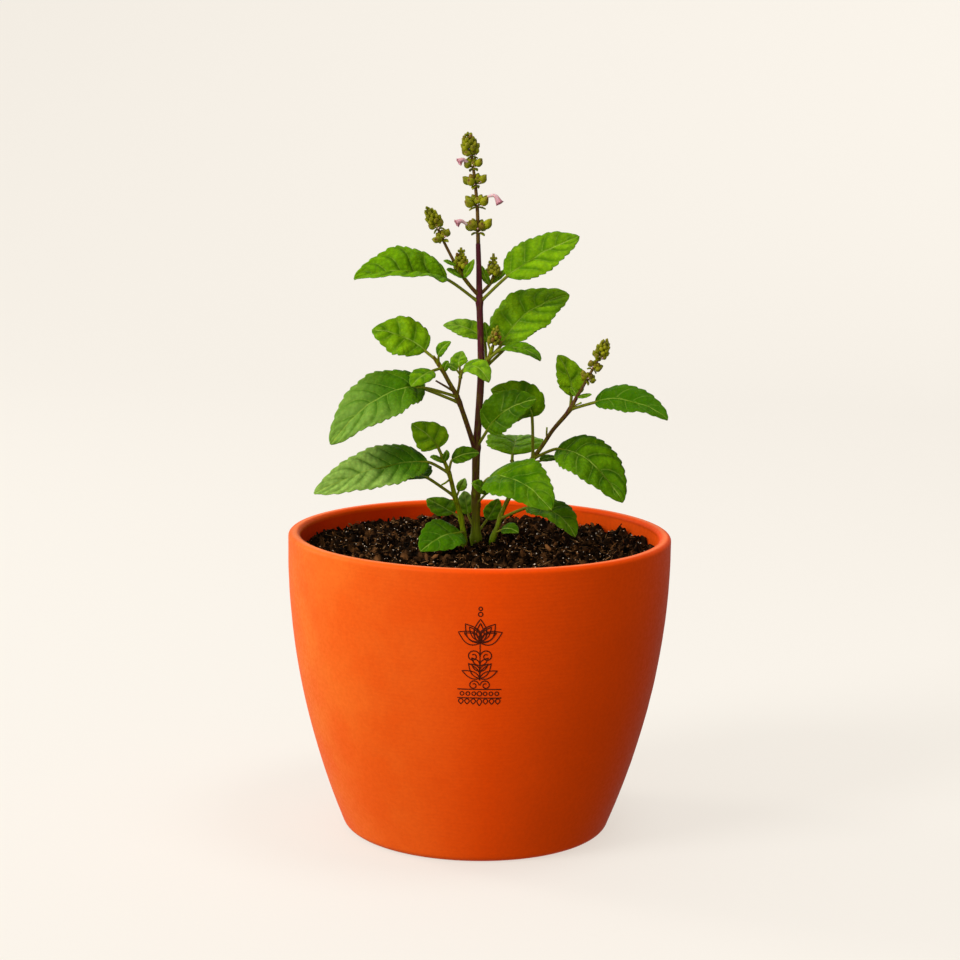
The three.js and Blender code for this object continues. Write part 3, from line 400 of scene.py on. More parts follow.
def copies(model, matrices, points, masks):
    """A shape set down many times: its points times each 3 by 3 matrix, plus each point."""
    n = len(model.points)
    moved = np.einsum("kij,nj->kni", matrices, model.points) + points[:, None, :]
    step = (np.arange(len(points)) * n)[:, None, None]
    own = {key: np.tile(mask, len(points)) for key, mask in model.masks.items()}
    each = {key: np.repeat(mask, n) for key, mask in masks.items()}
    return Shape(moved.reshape(-1, 3), (model.quads + step).reshape(-1, 4),
                 (model.tris + step).reshape(-1, 3), {**own, **each})


def tube(points, radii, sides, masks, squareness=0.0, along=None):
    """A tube round a line of points: each ring is a circle square to the line, its radius raised
    by squareness times the cosine of four times the angle."""
    along = unit(np.gradient(points, axis=0)) if along is None else along
    side, other = square_to(along)
    angle = angles(sides)
    wide = radii.reshape(len(points), -1) * (1 + squareness * np.cos(4 * angle))
    return skin(points[:, None] + side[:, None] * (wide * np.cos(angle))[..., None]
                + other[:, None] * (wide * np.sin(angle))[..., None], masks)


def lathe(profile, sides):
    """A profile of (radius, height) turned round Z: x is r times the cosine of the angle, and y
    is r times its sine."""
    angle = angles(sides)
    r, z = profile[:, :1], profile[:, 1:]
    return np.stack([r * np.cos(angle), r * np.sin(angle), z + 0 * angle], axis=-1)


# ---------------------------------------------------------------- pieces


def show(name, data, matrix=None):
    """An object for a mesh, a light or a camera, in the scene."""
    made = bpy.data.objects.new(name, data)
    if matrix is not None:
        made.matrix_world = Matrix(matrix)
    bpy.context.scene.collection.objects.link(made)
    return made


def lay(name, shape, material):
    """Puts a shape into a mesh in metres, with its masks as attributes."""
    mesh = bpy.data.meshes.new(name)
    points, quads, tris, masks = shape
    mesh.vertices.add(len(points))
    mesh.vertices.foreach_set("co", (points * MM).astype(np.float32).ravel())
    corners = np.concatenate([quads.ravel(), tris.ravel()]).astype(np.int32)
    mesh.loops.add(len(corners))
    mesh.loops.foreach_set("vertex_index", corners)
    mesh.polygons.add(len(quads) + len(tris))
    starts = np.concatenate([4 * np.arange(len(quads)), quads.size + 3 * np.arange(len(tris))])
    mesh.polygons.foreach_set("loop_start", starts.astype(np.int32))
    mesh.update(calc_edges=True)
    mesh.polygons.foreach_set("use_smooth", np.ones(len(mesh.polygons), bool))
    for key, mask in masks.items():
        attribute = mesh.attributes.new(key, "FLOAT", "POINT")
        attribute.data.foreach_set("value", mask.astype(np.float32))
    mesh.materials.append(material)
    return show(name, mesh)


def piece(name, shape, material, nodes=()):
    """Lays a shape on the body, in the stead of the solids that it stands for."""
    made = lay(name, shape, material)
    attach(made, BODY)
    if nodes:
        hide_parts(*nodes)


# ---------------------------------------------------------------- materials


def connect(socket, value):
    """Gives a socket a plain value, or another node's output."""
    if isinstance(value, bpy.types.NodeSocket):
        socket.id_data.links.new(value, socket)
    else:
        socket.default_value = value


def add(tree, kind, settings=None, **inputs):
    """A shader node with its settings and inputs; its outputs."""
    made = tree.nodes.new("ShaderNode" + kind)
    for key, value in (settings or {}).items():
        setattr(made, key, value)
    for key, value in inputs.items():
        connect(made.inputs[key.replace("_", " ")], value)
    return made.outputs


def mix(factor, a, b):
    """Two colours mixed by a factor."""
    made = factor.id_data.nodes.new("ShaderNodeMix")
    made.data_type = "RGBA"
    for place, value in ((0, factor), (6, a), (7, b)):
        connect(made.inputs[place], value)
    return made.outputs[2]


def sums(kind, *values, clamp=False):
    """One step of arithmetic on values, of which one at least is a node's output."""
    tree = next(value.id_data for value in values if isinstance(value, bpy.types.NodeSocket))
    made = tree.nodes.new("ShaderNodeMath")
    made.operation = kind
    made.use_clamp = clamp
    for socket, value in zip(made.inputs, values):
        connect(socket, value)
    return made.outputs[0]


def spread(value, low, high, to_low=0.0, to_high=1.0):
    """A value's stretch from low to high, mapped to another one and kept inside it."""
    return add(value.id_data, "MapRange", Value=value, From_Min=low, From_Max=high,
               To_Min=to_low, To_Max=to_high)["Result"]


def place_in(tree):
    """Where a point is on its object."""
    return add(tree, "TexCoord")["Object"]


def mask(tree, name):
    """One of the mesh's masks."""
    return add(tree, "Attribute", {"attribute_name": name})["Fac"]


def laid_over(base, *layers):
    """A colour with others laid over it, each by a share of one of the mesh's masks."""
    for name, share, over in layers:
        base = mix(sums("MULTIPLY", mask(base.id_data, name), share), base, over)
    return base


def colour(red, green, blue):
    """A colour given in the 0 to 255 values of a screen, as linear light."""
    c = np.array([red, green, blue]) / 255
    return (*np.where(c < 0.04045, c / 12.92, ((c + 0.055) / 1.055) ** 2.4), 1.0)


def group(name, inputs, outputs):
    """An empty node group with named sockets, given as name: default and name: kind."""
    tree = bpy.data.node_groups.new(name, "ShaderNodeTree")
    for key, default in inputs.items():
        kind = "Float" if isinstance(default, float) else "Color"
        socket = tree.interface.new_socket(key, in_out="INPUT", socket_type="NodeSocket" + kind)
        socket.default_value = default
    for key, kind in outputs.items():
        tree.interface.new_socket(key, in_out="OUTPUT", socket_type="NodeSocket" + kind)
    return tree, tree.nodes.new("NodeGroupInput").outputs, tree.nodes.new("NodeGroupOutput").inputs


def noise(tree, size, **inputs):
    """Noise over the object, of a size in metres."""
    return add(tree, "TexNoise", Vector=place_in(tree),
               Scale=sums("DIVIDE", 1.0, size), **inputs)["Fac"]


def mottle_group():
    """Two colours in soft cloudy patches with finer specks, and the patches as a value."""
    white = (1.0, 1.0, 1.0, 1.0)
    tree, given, out = group(
        "mottle", {"Colour": white, "Patch": white, "Size": 0.01, "Contrast": 0.5},
        {"Colour": "Color", "Value": "Float"})
    value = spread(noise(tree, given["Size"], Detail=5.0, Roughness=0.62), 0.375, 0.625)
    share = sums("MULTIPLY", value, given["Contrast"])
    connect(out["Colour"], mix(share, given["Colour"], given["Patch"]))
    connect(out["Value"], value)
    return tree


def relief_group():
    """A bumped normal from noise and a height, and the noise as a value."""
    tree, given, out = group(
        "relief", {"Size": 0.001, "Depth": 0.0001, "Strength": 0.5, "Height": 0.0},
        {"Normal": "Vector", "Value": "Float"})
    fine = noise(tree, given["Size"], Detail=3.0, Roughness=0.6)
    bump = add(tree, "Bump", Strength=given["Strength"], Distance=given["Depth"],
               Height=sums("ADD", fine, given["Height"]))
    connect(out["Normal"], bump["Normal"])
    connect(out["Value"], fine)
    return tree


SHARED = {"mottle": mottle_group(), "relief": relief_group()}


def use(tree, name, **inputs):
    """A shared node group placed in a material with its own values."""
    return add(tree, "Group", {"node_tree": SHARED[name]}, **inputs)


def blank(name):
    """A new material and its node tree."""
    made = bpy.data.materials.new(name)
    made.use_nodes = True
    return made, made.node_tree


def finish(made, base, roughness, relief=None, **plain):
    """Sets a material's one principled shader; `plain` values sit on its own sockets."""
    shader = made.node_tree.nodes["Principled BSDF"].inputs
    connect(shader["Base Color"], base)
    connect(shader["Roughness"], roughness)
    if relief:
        connect(shader["Normal"], relief["Normal"])
    for key, value in plain.items():
        shader[key.replace("_", " ")].default_value = value
    return made


def terracotta_finish():
    """Matt orange clay, paler at the front left by a painted highlight, and inside redder, darker on
    the left and lighter on the right, as painted shade and light: cloudy patches, pin pores, faint
    turning lines and a lip made paler by a painted highlight."""
    made, tree = blank("terracotta")
    place = place_in(tree)
    parts = add(tree, "SeparateXYZ", Vector=place)
    # painted highlight: the clay is paler at the front left, where the key light falls
    front_left_highlight = sums("MULTIPLY", spread(parts["X"], -0.07, 0.005, 1.0, 0.0),
                    spread(parts["Y"], -0.03, 0.05, 1.0, 0.0))
    outer = mix(front_left_highlight, colour(230, 72, 0), colour(225, 107, 32))
    # painted shade and light: the inside is redder, darker on the left and lighter on the right
    inside_shade = mix(spread(parts["X"], -0.04, 0.05), colour(214, 46, 0), colour(255, 90, 8))
    clouds = use(tree, "mottle", Colour=mix(mask(tree, "inner"), outer, inside_shade),
                 Patch=colour(220, 68, 0), Size=0.028, Contrast=0.4)
    specks = use(tree, "mottle", Colour=clouds["Colour"], Patch=colour(180, 52, 8),
                 Size=0.0016, Contrast=0.14)
    # painted highlight: a paler band along the top of the lip
    lip_highlight = spread(mask(tree, "lip"), 0.2, 1.0, 0.0, 0.55)
    turning = add(tree, "TexWave", {"bands_direction": "Z"}, Vector=place, Scale=190.0,
                  Distortion=1.6, Detail=2.0, Detail_Scale=0.6)["Fac"]
    relief = use(tree, "relief", Size=0.0009, Depth=0.00012, Strength=0.35,
                 Height=sums("MULTIPLY", turning, 0.35))
    return finish(made, mix(lip_highlight, specks["Colour"], colour(250, 142, 84)),
                  spread(specks["Value"], 0.0, 1.0, 0.42, 0.54), relief, Specular_IOR_Level=0.04)


def paint_finish():
    """Thin dark brown line paint, slightly uneven."""
    made, tree = blank("line_paint")
    base = use(tree, "mottle", Colour=colour(62, 16, 2), Patch=colour(96, 30, 6), Size=0.002,
               Contrast=0.7)
    return finish(made, base["Colour"], 0.7, Specular_IOR_Level=0.1)


def soil_finish(name, dark, light, grain):
    """Crumbled earth: dark and brown patches, each crumb with its own tone, rough all over."""
    made, tree = blank(name)
    patches = use(tree, "mottle", Colour=dark, Patch=light, Size=0.003, Contrast=0.04)
    relief = use(tree, "relief", Size=grain, Depth=0.0006, Strength=0.9)
    return finish(made, mix(mask(tree, "tone"), patches["Colour"], light),
                  spread(relief["Value"], 0.3, 0.7, 0.55, 0.95), relief, Specular_IOR_Level=0.02)


def shaded_finish(name, key, low, high, roughness, relief, **plain):
    """A colour between two by a mask, over fine relief of a size, depth and strength."""
    made, tree = blank(name)
    fine = use(tree, "relief", **dict(zip(("Size", "Depth", "Strength"), relief)))
    return finish(made, mix(mask(tree, key), low, high), roughness, fine, **plain)


def stem_finish():
    """Young bark from green through olive brown to purple brown, streaked and finely bumped."""
    made, tree = blank("stem_bark")
    drawn_out = add(tree, "Mapping", Scale=(1.0, 1.0, 0.16), Vector=place_in(tree))
    streaks = add(tree, "TexNoise", Vector=drawn_out["Vector"], Scale=1500.0, Detail=3.0)["Fac"]
    share = sums("ADD", mask(tree, "woody"), spread(streaks, 0.3, 0.7, -0.3, 0.3), clamp=True)
    young = mix(spread(share, 0.0, 0.5), colour(142, 168, 6), colour(96, 84, 6))
    old = mix(spread(share, 0.45, 1.0), young, colour(80, 29, 38))
    relief = use(tree, "relief", Size=0.0005, Depth=0.0002, Strength=0.5, Height=streaks)
    return finish(made, laid_over(old, ("earth", 0.8, colour(92, 118, 4))), 0.5, relief,
                  Specular_IOR_Level=0.06)


def leaf_finish(name, shade, light):
    """Leaf tissue: cloudy green, with a painted highlight where it puffs between the veins and
    painted shade in the creases beside the side veins, lighter or darker per leaf, partly by its own
    tone and partly as painted light and shade, with a pale midrib that thins to the tip, fine pale
    side veins, a faded part, a painted highlight along the margin, small quilted cells as relief with
    painted shade in their sunken edges, and a paler underside."""
    made, tree = blank(name)
    clouds = use(tree, "mottle", Colour=shade, Patch=light, Size=0.011, Contrast=0.7)
    # painted highlight where the tissue puffs between the veins, shifted per leaf
    tone = sums("MULTIPLY_ADD", mask(tree, "puff"), 0.7, mask(tree, "lightness"))
    puff_highlighted = mix(sums("MAXIMUM", tone, 0.0), clouds["Colour"], light)
    # partly painted light and shade: a leaf set darker is dimmed towards the shade colour
    dim = mix(sums("MULTIPLY", mask(tree, "lightness"), -1.0, clamp=True), puff_highlighted, shade)
    # painted shade in the creases beside the side veins
    crease_shaded = laid_over(dim, ("fade", 0.86, colour(156, 190, 88)), ("crease", 0.8, shade))

    rib = spread(sums("ABSOLUTE", mask(tree, "across")), 0.14, 0.42, 0.68, 0.0)
    line = spread(sums("PINGPONG", mask(tree, "phase"), 0.5), 0.012, 0.06, 0.26, 0.0)
    line = sums("MULTIPLY", line, spread(mask(tree, "far"), 0.5, 0.95, 1.0, 0.0))
    veins = sums("MAXIMUM", rib, line)
    # painted highlight: a lighter band along the margin
    rim = laid_over(mix(veins, crease_shaded, colour(158, 182, 70)), ("edge", 0.4, colour(120, 160, 40)))

    flat = add(tree, "CombineXYZ", X=mask(tree, "along"), Y=mask(tree, "across"))
    cells = add(tree, "TexVoronoi", {"feature": "SMOOTH_F1"}, Scale=0.62,
                Vector=flat["Vector"], Randomness=0.9, Smoothness=0.6)
    hollow = spread(cells["Distance"], 0.2, 0.75)
    fine = use(tree, "mottle", Colour=rim, Patch=shade, Size=0.0022, Contrast=0.3)
    # painted shade in the sunken edges of the quilted cells
    dark = mix(sums("MULTIPLY", hollow, 0.25), fine["Colour"], shade)
    base = laid_over(dark, ("under", 0.85, colour(112, 148, 50)),
                     ("stalk", 1.0, colour(112, 118, 28)))
    height = sums("SUBTRACT", sums("MULTIPLY", hollow, -2.2), sums("MULTIPLY", veins, 0.5))
    relief = use(tree, "relief", Size=0.0011, Depth=0.00024, Strength=0.5, Height=height)
    return finish(made, base, spread(relief["Value"], 0.3, 0.7, 0.32, 0.46), relief,
                  Specular_IOR_Level=0.02, Subsurface_Weight=0.05, Subsurface_Scale=0.002)


def bud_finish():
    """Hairy cups: olive and yellow green with pale dots, a few of them aged, with a brown mouth,
    brown tips and brown stalks."""
    made, tree = blank("bud_cup")
    patches = use(tree, "mottle", Colour=colour(150, 154, 4), Patch=colour(70, 80, 0),
                  Size=0.0026, Contrast=0.8)
    dots = add(tree, "TexVoronoi", Scale=1100.0, Vector=place_in(tree))["Distance"]
    dotted = mix(spread(dots, 0.1, 0.3, 0.5, 0.0), patches["Colour"], colour(178, 176, 70))
    base = laid_over(dotted, ("aged", 1.0, colour(120, 86, 30)),
                     ("brown", 0.85, colour(92, 54, 30)), ("mouth", 1.0, colour(122, 88, 44)))
    relief = use(tree, "relief", Size=0.0005, Depth=0.00025, Strength=0.7)
    return finish(made, base, 0.5, relief, Specular_IOR_Level=0.1, Sheen_Weight=0.03,
                  Sheen_Roughness=0.35)


# ---------------------------------------------------------------- the pot


def outer_radius(z):
    """The wall's outer radius: the rim's, less the foot's taper times the square of the height
    left below the belly, as a share."""
    return RIM_RADIUS - FOOT_TAPER * np.maximum(0, 1 - z / BELLY_HEIGHT) ** 2


def arc(x, z, radius, start, end, steps):
    """Points of an arc about (x, z) between two angles in degrees."""
    angle = np.radians(np.linspace(start, end, steps))
    return np.column_stack([x + radius * np.cos(angle), z + radius * np.sin(angle)])


def wall(low, high, steps, inset=0.0):
    """Points up or down the wall, `inset` in from its outside."""
    z = np.linspace(low, high, steps)
    return np.column_stack([outer_radius(z) - inset, z])


def pot_shape():
    """The wall's profile turned about Z, then drawn in by up to a tenth of a millimetre by slow
    noise, as hand-finished clay is."""
    slope = 2 * FOOT_TAPER / BELLY_HEIGHT
    foot = outer_radius(0) + slope * FOOT_FILLET - np.hypot(1, slope) * FOOT_FILLET
    bend = -np.degrees(np.arctan(slope))
    lip = POT_HEIGHT - LIP_FILLET
    top = RIM_RADIUS - WALL / 2
    profile = np.vstack([
        [[0.5, 0.0], [foot * 0.5, 0.0], [foot - 1.0, 0.0]],
        arc(foot, FOOT_FILLET, FOOT_FILLET, -90, bend, 10),
        wall(4.5, lip - 0.4, WALL_STEPS),
        arc(RIM_RADIUS - LIP_FILLET, lip, LIP_FILLET, 0, 90, 9),
        [[top, POT_HEIGHT]],
        arc(RIM_RADIUS - WALL + LIP_FILLET, lip, LIP_FILLET, 90, 180, 13),
        wall(lip - 0.8, FLOOR + 1, INNER_POINTS - 3, WALL),
        [[outer_radius(FLOOR) - WALL - 1, FLOOR], [30.0, FLOOR], [0.5, FLOOR]],
    ])
    rings = lathe(profile, POT_SIDES)
    drawn = 1 + 0.5 * ripples(rings, 38, seed=3) + 0.3 * ripples(rings, 9, seed=4)
    rings[..., :2] *= 1 - POT_DRAWN * drawn.clip(0, 2)[..., None] / RIM_RADIUS
    # painted highlight: where the top of the lip is paler
    lip_highlight = np.exp(-((profile[:, :1] - top) / LIP_HIGHLIGHT_SPREAD) ** 2 - (profile[:, 1:] - POT_HEIGHT) ** 2)
    # this mask marks the inside of the pot, where painted shade goes
    inner = np.arange(len(profile)) >= len(profile) - INNER_POINTS
    return skin(rings, {"lip": lip_highlight, "inner": inner[:, None].astype(float)})


# ---------------------------------------------------------------- the ornament on the pot


def petal_line(x, z, length, width, lean):
    """A petal's outline: out along one side and back along the other, each side as far from the
    middle as width times the sine of pi times the share of the length to the power 0.8."""
    share = np.concatenate([np.linspace(0, 1, 18), np.linspace(1, 0, 18)[1:]])
    hand = np.concatenate([np.ones(18), -np.ones(17)])
    across = hand * width / 2 * np.sin(np.pi * share**0.8)
    lean = np.radians(lean)
    up = share * length
    return np.column_stack([x + across * np.cos(lean) + up * np.sin(lean),
                            z - across * np.sin(lean) + up * np.cos(lean)])


def scroll_line(x, z, reach, hand):
    """A scroll: a spiral whose radius shrinks evenly as it turns, after a rising stalk."""
    angle = np.linspace(0, 2.7 * np.pi, 46)
    radius = reach * (1 - 0.75 * angle / angle[-1])
    return np.column_stack([x + hand * (reach - radius * np.cos(angle)), z + radius * np.sin(angle)])


def ring_line(x, z, radius):
    """A closed ring."""
    return arc(x, z, radius, 0, 360, 20)


def ornament_lines():
    """A plain lotus ornament: an open flower on a leafy stalk, scrolls at both sides, a row of
    beads between two lines and small petals under them."""
    lines = [petal_line(0, 2, 9.5, 5.2, lean) for lean in (-64, -38, 0, 38, 64)]
    lines += [petal_line(0, 2.8, 7, 2.9, lean) for lean in (-64, -38, 0, 38, 64)]
    lines += [petal_line(0, 2, 6.6, 2.4, lean) for lean in (-19, 19)]
    lines += [np.column_stack([np.zeros(12), np.linspace(2, -13.5, 12)])]
    for hand in (-1, 1):
        lines += [scroll_line(0, -3.6, 2.6, hand), scroll_line(hand * 0.2, -15.5, 2.1, hand)]
        lines += [petal_line(0, -12.6, 7.6, 2.8, hand * lean) for lean in (36, 66)]
        lines += [petal_line(0, z, 4.4, 1.7, hand * 48) for z in (-9.6, -7.2)]
        lines += [ring_line(hand * (2.2 + 2.3 * k), -19, 0.75) for k in range(3)]
        lines += [petal_line(hand * 2.4 * k, -21.1, 2.3, 1.8, 180) for k in (1, 2, 3)]
    lines += [ring_line(0, 13.4 + 2.2 * k, 0.85 - 0.15 * k) for k in range(2)]
    lines += [ring_line(0, -19, 0.9), petal_line(0, -21.1, 2.9, 1.8, 180)]
    base = np.linspace(-8.6, 8.6, 24)
    lines += [np.column_stack([base, np.full(24, height)]) for height in (-17.2, -20.8)]
    return lines


def line_shape(line):
    """A painted line: a flat strip that follows the wall, its sides half a line's width away
    along the line's own square, its top just proud of the wall and its foot sunk in."""
    along = unit(np.gradient(line, axis=0))
    square = np.column_stack([along[:, 1], -along[:, 0]]) * LINE_WIDTH / 2
    rings = []
    for hand, lift in ((1, -LINE_SUNK), (-1, -LINE_SUNK), (-1, LINE_PROUD), (1, LINE_PROUD)):
        x, z = (line + hand * square + ORNAMENT_CENTRE).T
        r = outer_radius(z) + lift
        angle = x / outer_radius(z)
        rings.append(np.column_stack([r * np.sin(angle), -r * np.cos(angle), z]))
    return skin(np.stack(rings, axis=1)[:, ::-1])


# ---------------------------------------------------------------- the soil


def soil_height(x, y):
    """Broad lumps, a slanting ripple and a shallow mound, as the solid has them."""
    broad = np.sin(x / SOIL_ROLL[0] + SOIL_PHASE[0]) * np.cos(y / SOIL_ROLL[1] + SOIL_PHASE[1])
    small = SOIL_SHARE * np.sin((x - SOIL_SLANT * y) / SOIL_RIPPLE)
    fall = SOIL_FALL * (x**2 + y**2) / (RIM_RADIUS - WALL) ** 2
    return SOIL_LEVEL - fall + SOIL_LUMP * (broad + small)


def crumbled(x, y):
    """The soil's height with crumbs: noise of three sizes, one of them folded into ridges."""
    flat = np.stack([x, y, 0 * x], axis=-1)
    broad = 1.1 * ripples(flat, 6.5, seed=11)
    ridged = 0.55 * np.abs(ripples(flat, 3.1, seed=12)) - 0.1
    return soil_height(x, y) + broad + ridged + 0.4 * ripples(flat, 1.7, seed=13)


def soil_shape():
    """A profile that rises beside the wall and runs in over the top, turned about Z, its top
    then set to the crumbled height."""
    inset = WALL + SOIL_CLEARANCE
    low = FLOOR + 0.5
    radii = np.linspace(outer_radius(SOIL_LEVEL) - inset, 0.4, SOIL_RINGS)
    top = np.column_stack([radii, np.full(SOIL_RINGS, SOIL_LEVEL)])
    rings = lathe(np.vstack([[[0.5, low]], wall(low, SOIL_LEVEL - 2, 16, inset), top]), SOIL_SIDES)
    upper = rings[-SOIL_RINGS:]
    upper[..., 2] = crumbled(upper[..., 0], upper[..., 1])
    return skin(rings, {"tone": (0.2 * ripples(rings, 5, seed=14)).clip(0, 1)})


def ball(sectors, levels, roughness, seed):
    """A rough ball: rings of latitude, each point moved in or out at random."""
    rng = np.random.default_rng(seed)
    angle = np.linspace(0, np.pi, levels + 2)[1:-1]
    rings = lathe(np.column_stack([np.sin(angle), -np.cos(angle)]), sectors)
    rings *= rng.uniform(1 - roughness, 1 + roughness, rings.shape[:2])[..., None]
    shape = skin(rings)
    shape.points[-2:] = ((0, 0, -1), (0, 0, 1))
    return shape


def turns(rng, stretch):
    """Random turnings: three random directions made square to each other by two crosses, each
    as long as its stretch."""
    a = unit(rng.normal(size=stretch.shape))
    b = unit(np.cross(a, rng.normal(size=stretch.shape)))
    return np.stack([a, b, np.cross(a, b)], axis=-1) * stretch[:, None, :]


def scattered(rng, count, limit):
    """Points spread evenly over the soil: the radius goes with the root of a random share."""
    radius = limit * np.sqrt(rng.uniform(0, 1, count))
    angle = rng.uniform(0, 2 * np.pi, count)
    return radius * np.cos(angle), radius * np.sin(angle)


def crumb_places():
    """How the crumbs are turned and stretched, where they lie, their size and how high they sit."""
    rng = np.random.default_rng(21)
    size = (CRUMB_SIZE * np.exp(rng.normal(0, 0.5, CRUMBS))).clip(*CRUMB_LIMITS)
    x, y = scattered(rng, CRUMBS, RIM_RADIUS - WALL - 2.6)
    lift = rng.uniform(-0.3, 0.7, CRUMBS)
    points = np.column_stack([x, y, crumbled(x, y) + size * lift])
    stretch = size[:, None] * rng.uniform((0.45, 0.5, 0.8), (0.9, 1.1, 2.8), (CRUMBS, 3))
    return turns(rng, stretch), points, size, lift


def crumb_shape(matrices, points, lift):
    """Rough balls of four makes, most of them dark and a few of the highest ones light."""
    rng = np.random.default_rng(22)
    kinds = rng.integers(0, 4, CRUMBS)
    tone = rng.uniform(0, 1.05, CRUMBS) ** 6 * (0.3 + lift).clip(0, 1)
    return join([copies(ball(6, 2, 0.22, seed=30 + k), matrices[kinds == k], points[kinds == k],
                        {"tone": tone[kinds == k]}) for k in range(4)])


def grain_shape(points, size):
    """Small pale grains, each sitting on the upper side of a crumb."""
    rng = np.random.default_rng(23)
    chosen = rng.integers(0, CRUMBS, GRAINS)
    out = unit(rng.normal(0, 0.6, (GRAINS, 3)) + (0, 0, 1))
    radius = rng.uniform(*GRAIN_RADII, GRAINS) * (1 + 0.8 * rng.uniform(0, 1, GRAINS) ** 6)
    where = points[chosen] + out * (size[chosen] * 0.95)[:, None]
    stretch = radius[:, None] * rng.uniform(0.7, 1.3, (GRAINS, 3))
    return copies(ball(5, 2, 0.2, seed=40), turns(rng, stretch), where,
                  {"tone": rng.uniform(0, 1, GRAINS)})


def fibre_shape():
    """Slivers of bark: five-sided spindles that lie on the soil, tilted a little."""
    rng = np.random.default_rng(24)
    x, y = scattered(rng, FIBRES, RIM_RADIUS - WALL - 7)
    length = rng.uniform(*FIBRE_LENGTHS, FIBRES)[:, None]
    width = rng.uniform(*FIBRE_WIDTHS, FIBRES)[:, None]
    yaw, tilt = rng.uniform(0, 2 * np.pi, FIBRES), rng.normal(0.12, 0.22, FIBRES)
    along = np.column_stack([np.cos(yaw) * np.cos(tilt), np.sin(yaw) * np.cos(tilt), np.sin(tilt)])
    side, other = square_to(along, (0, 0, 1))
    matrices = np.stack([side * width * 0.6, other * width, along * length], axis=-1)
    spindle = skin(lathe(np.array([[0.35, -1], [1, -0.55], [0.85, 0.5], [0.3, 1.0]]), 5))
    return copies(spindle, matrices, np.column_stack([x, y, crumbled(x, y) + 0.75]),
                  {"tone": rng.uniform(0.2, 1, FIBRES)})


# ---------------------------------------------------------------- stems

JOINTS = np.array([leaf[1] for leaf in LEAVES])  # where leaf stalks leave the stems


def stem_shape(rows, woody, slim, run_on):
    """A four-ridged tube along the curve through the rows, its radius straight between rows, and
    swollen near each leaf stalk by a bell of the distance to it. It may run one step on."""
    rows = np.asarray(rows, float)
    length = np.linalg.norm(np.diff(rows[:, :3], axis=0), axis=1).sum()
    t = np.linspace(0, 1, int(length / STEM_STEP) + 3)
    centre = curve_at(rows[:, :3], t)
    near = np.linalg.norm(centre[:, None] - JOINTS, axis=2).min(axis=1)
    radius = slim * radius_at(rows, t) * (1 + 0.2 * np.exp(-((near / 1.5) ** 2)))
    radius = radius * (1 + ROOT_SWELL * np.exp(-(((centre[:, 2] - ROOT_CENTRE) / 2.1) ** 2)))
    if run_on:
        centre = np.vstack([centre, 2 * centre[-1] - centre[-2]])
        radius = np.append(radius, radius[-1] * 0.8)
        t = np.append(t, 1.0)
    angle = angles(STEM_SIDES)
    grain = 0.03 * np.sin(3 * angle + 0.5) + 0.02 * np.sin(7 * angle + centre[:, 2:] / 3.1)
    earth = np.exp(-(((centre[:, 2:] - SOIL_LEVEL).clip(0) / 15) ** 2))
    return tube(centre, radius[:, None] * (1 + grain), STEM_SIDES,
                {"woody": np.interp(t, (0, 1), woody)[:, None], "earth": earth}, 0.05)


def stem_whole(name):
    """A stem and its twigs, whose woodiness runs the other way."""
    _, woody, slim, (main, *twigs) = STEMS[name]
    return join([stem_shape(main, woody, slim, name == "stem_main")]
                + [stem_shape(rows, woody[::-1], slim, False) for rows in twigs])


# ---------------------------------------------------------------- leaves


def half_width(width, u):
    """Half the blade's width: the outline's sine of pi times u to the power of the skew, raised
    to the fullness, and never less than the narrowest."""
    outline = np.sin(np.pi * u**OUTLINE_SKEW).clip(0) ** OUTLINE_FULLNESS
    return np.maximum(SMALLEST_HALF_WIDTH, width / 2 * outline)


def blade_frame(base, mid, tip, face, u):
    """The midrib's quadratic curve at u, with the directions across and up."""
    base, mid, tip = (np.asarray(p, float) for p in (base, mid, tip))
    control = 2 * mid - (base + tip) / 2
    u = u[..., None]
    place = (1 - u) ** 2 * base + 2 * u * (1 - u) * control + u**2 * tip
    along = unit(2 * (1 - u) * (control - base) + 2 * u * (tip - control))
    side = unit(np.cross(along, np.asarray(face, float)))
    return place, side, np.cross(side, along)


def notch(u, teeth):
    """How far the margin is cut in, from 0 at a tooth's point to 1 in the bay after it: a slow
    rise to the point and a quick fall behind it."""
    phase = (u * teeth) % 1
    return 1 - np.where(phase < TOOTH_POINT, (phase / TOOTH_POINT) ** 0.85,
                        (1 - phase) / (1 - TOOTH_POINT))


def normals(grid):
    """The directions square to a grid of points."""
    return unit(np.cross(np.gradient(grid, axis=1), np.gradient(grid, axis=0)))


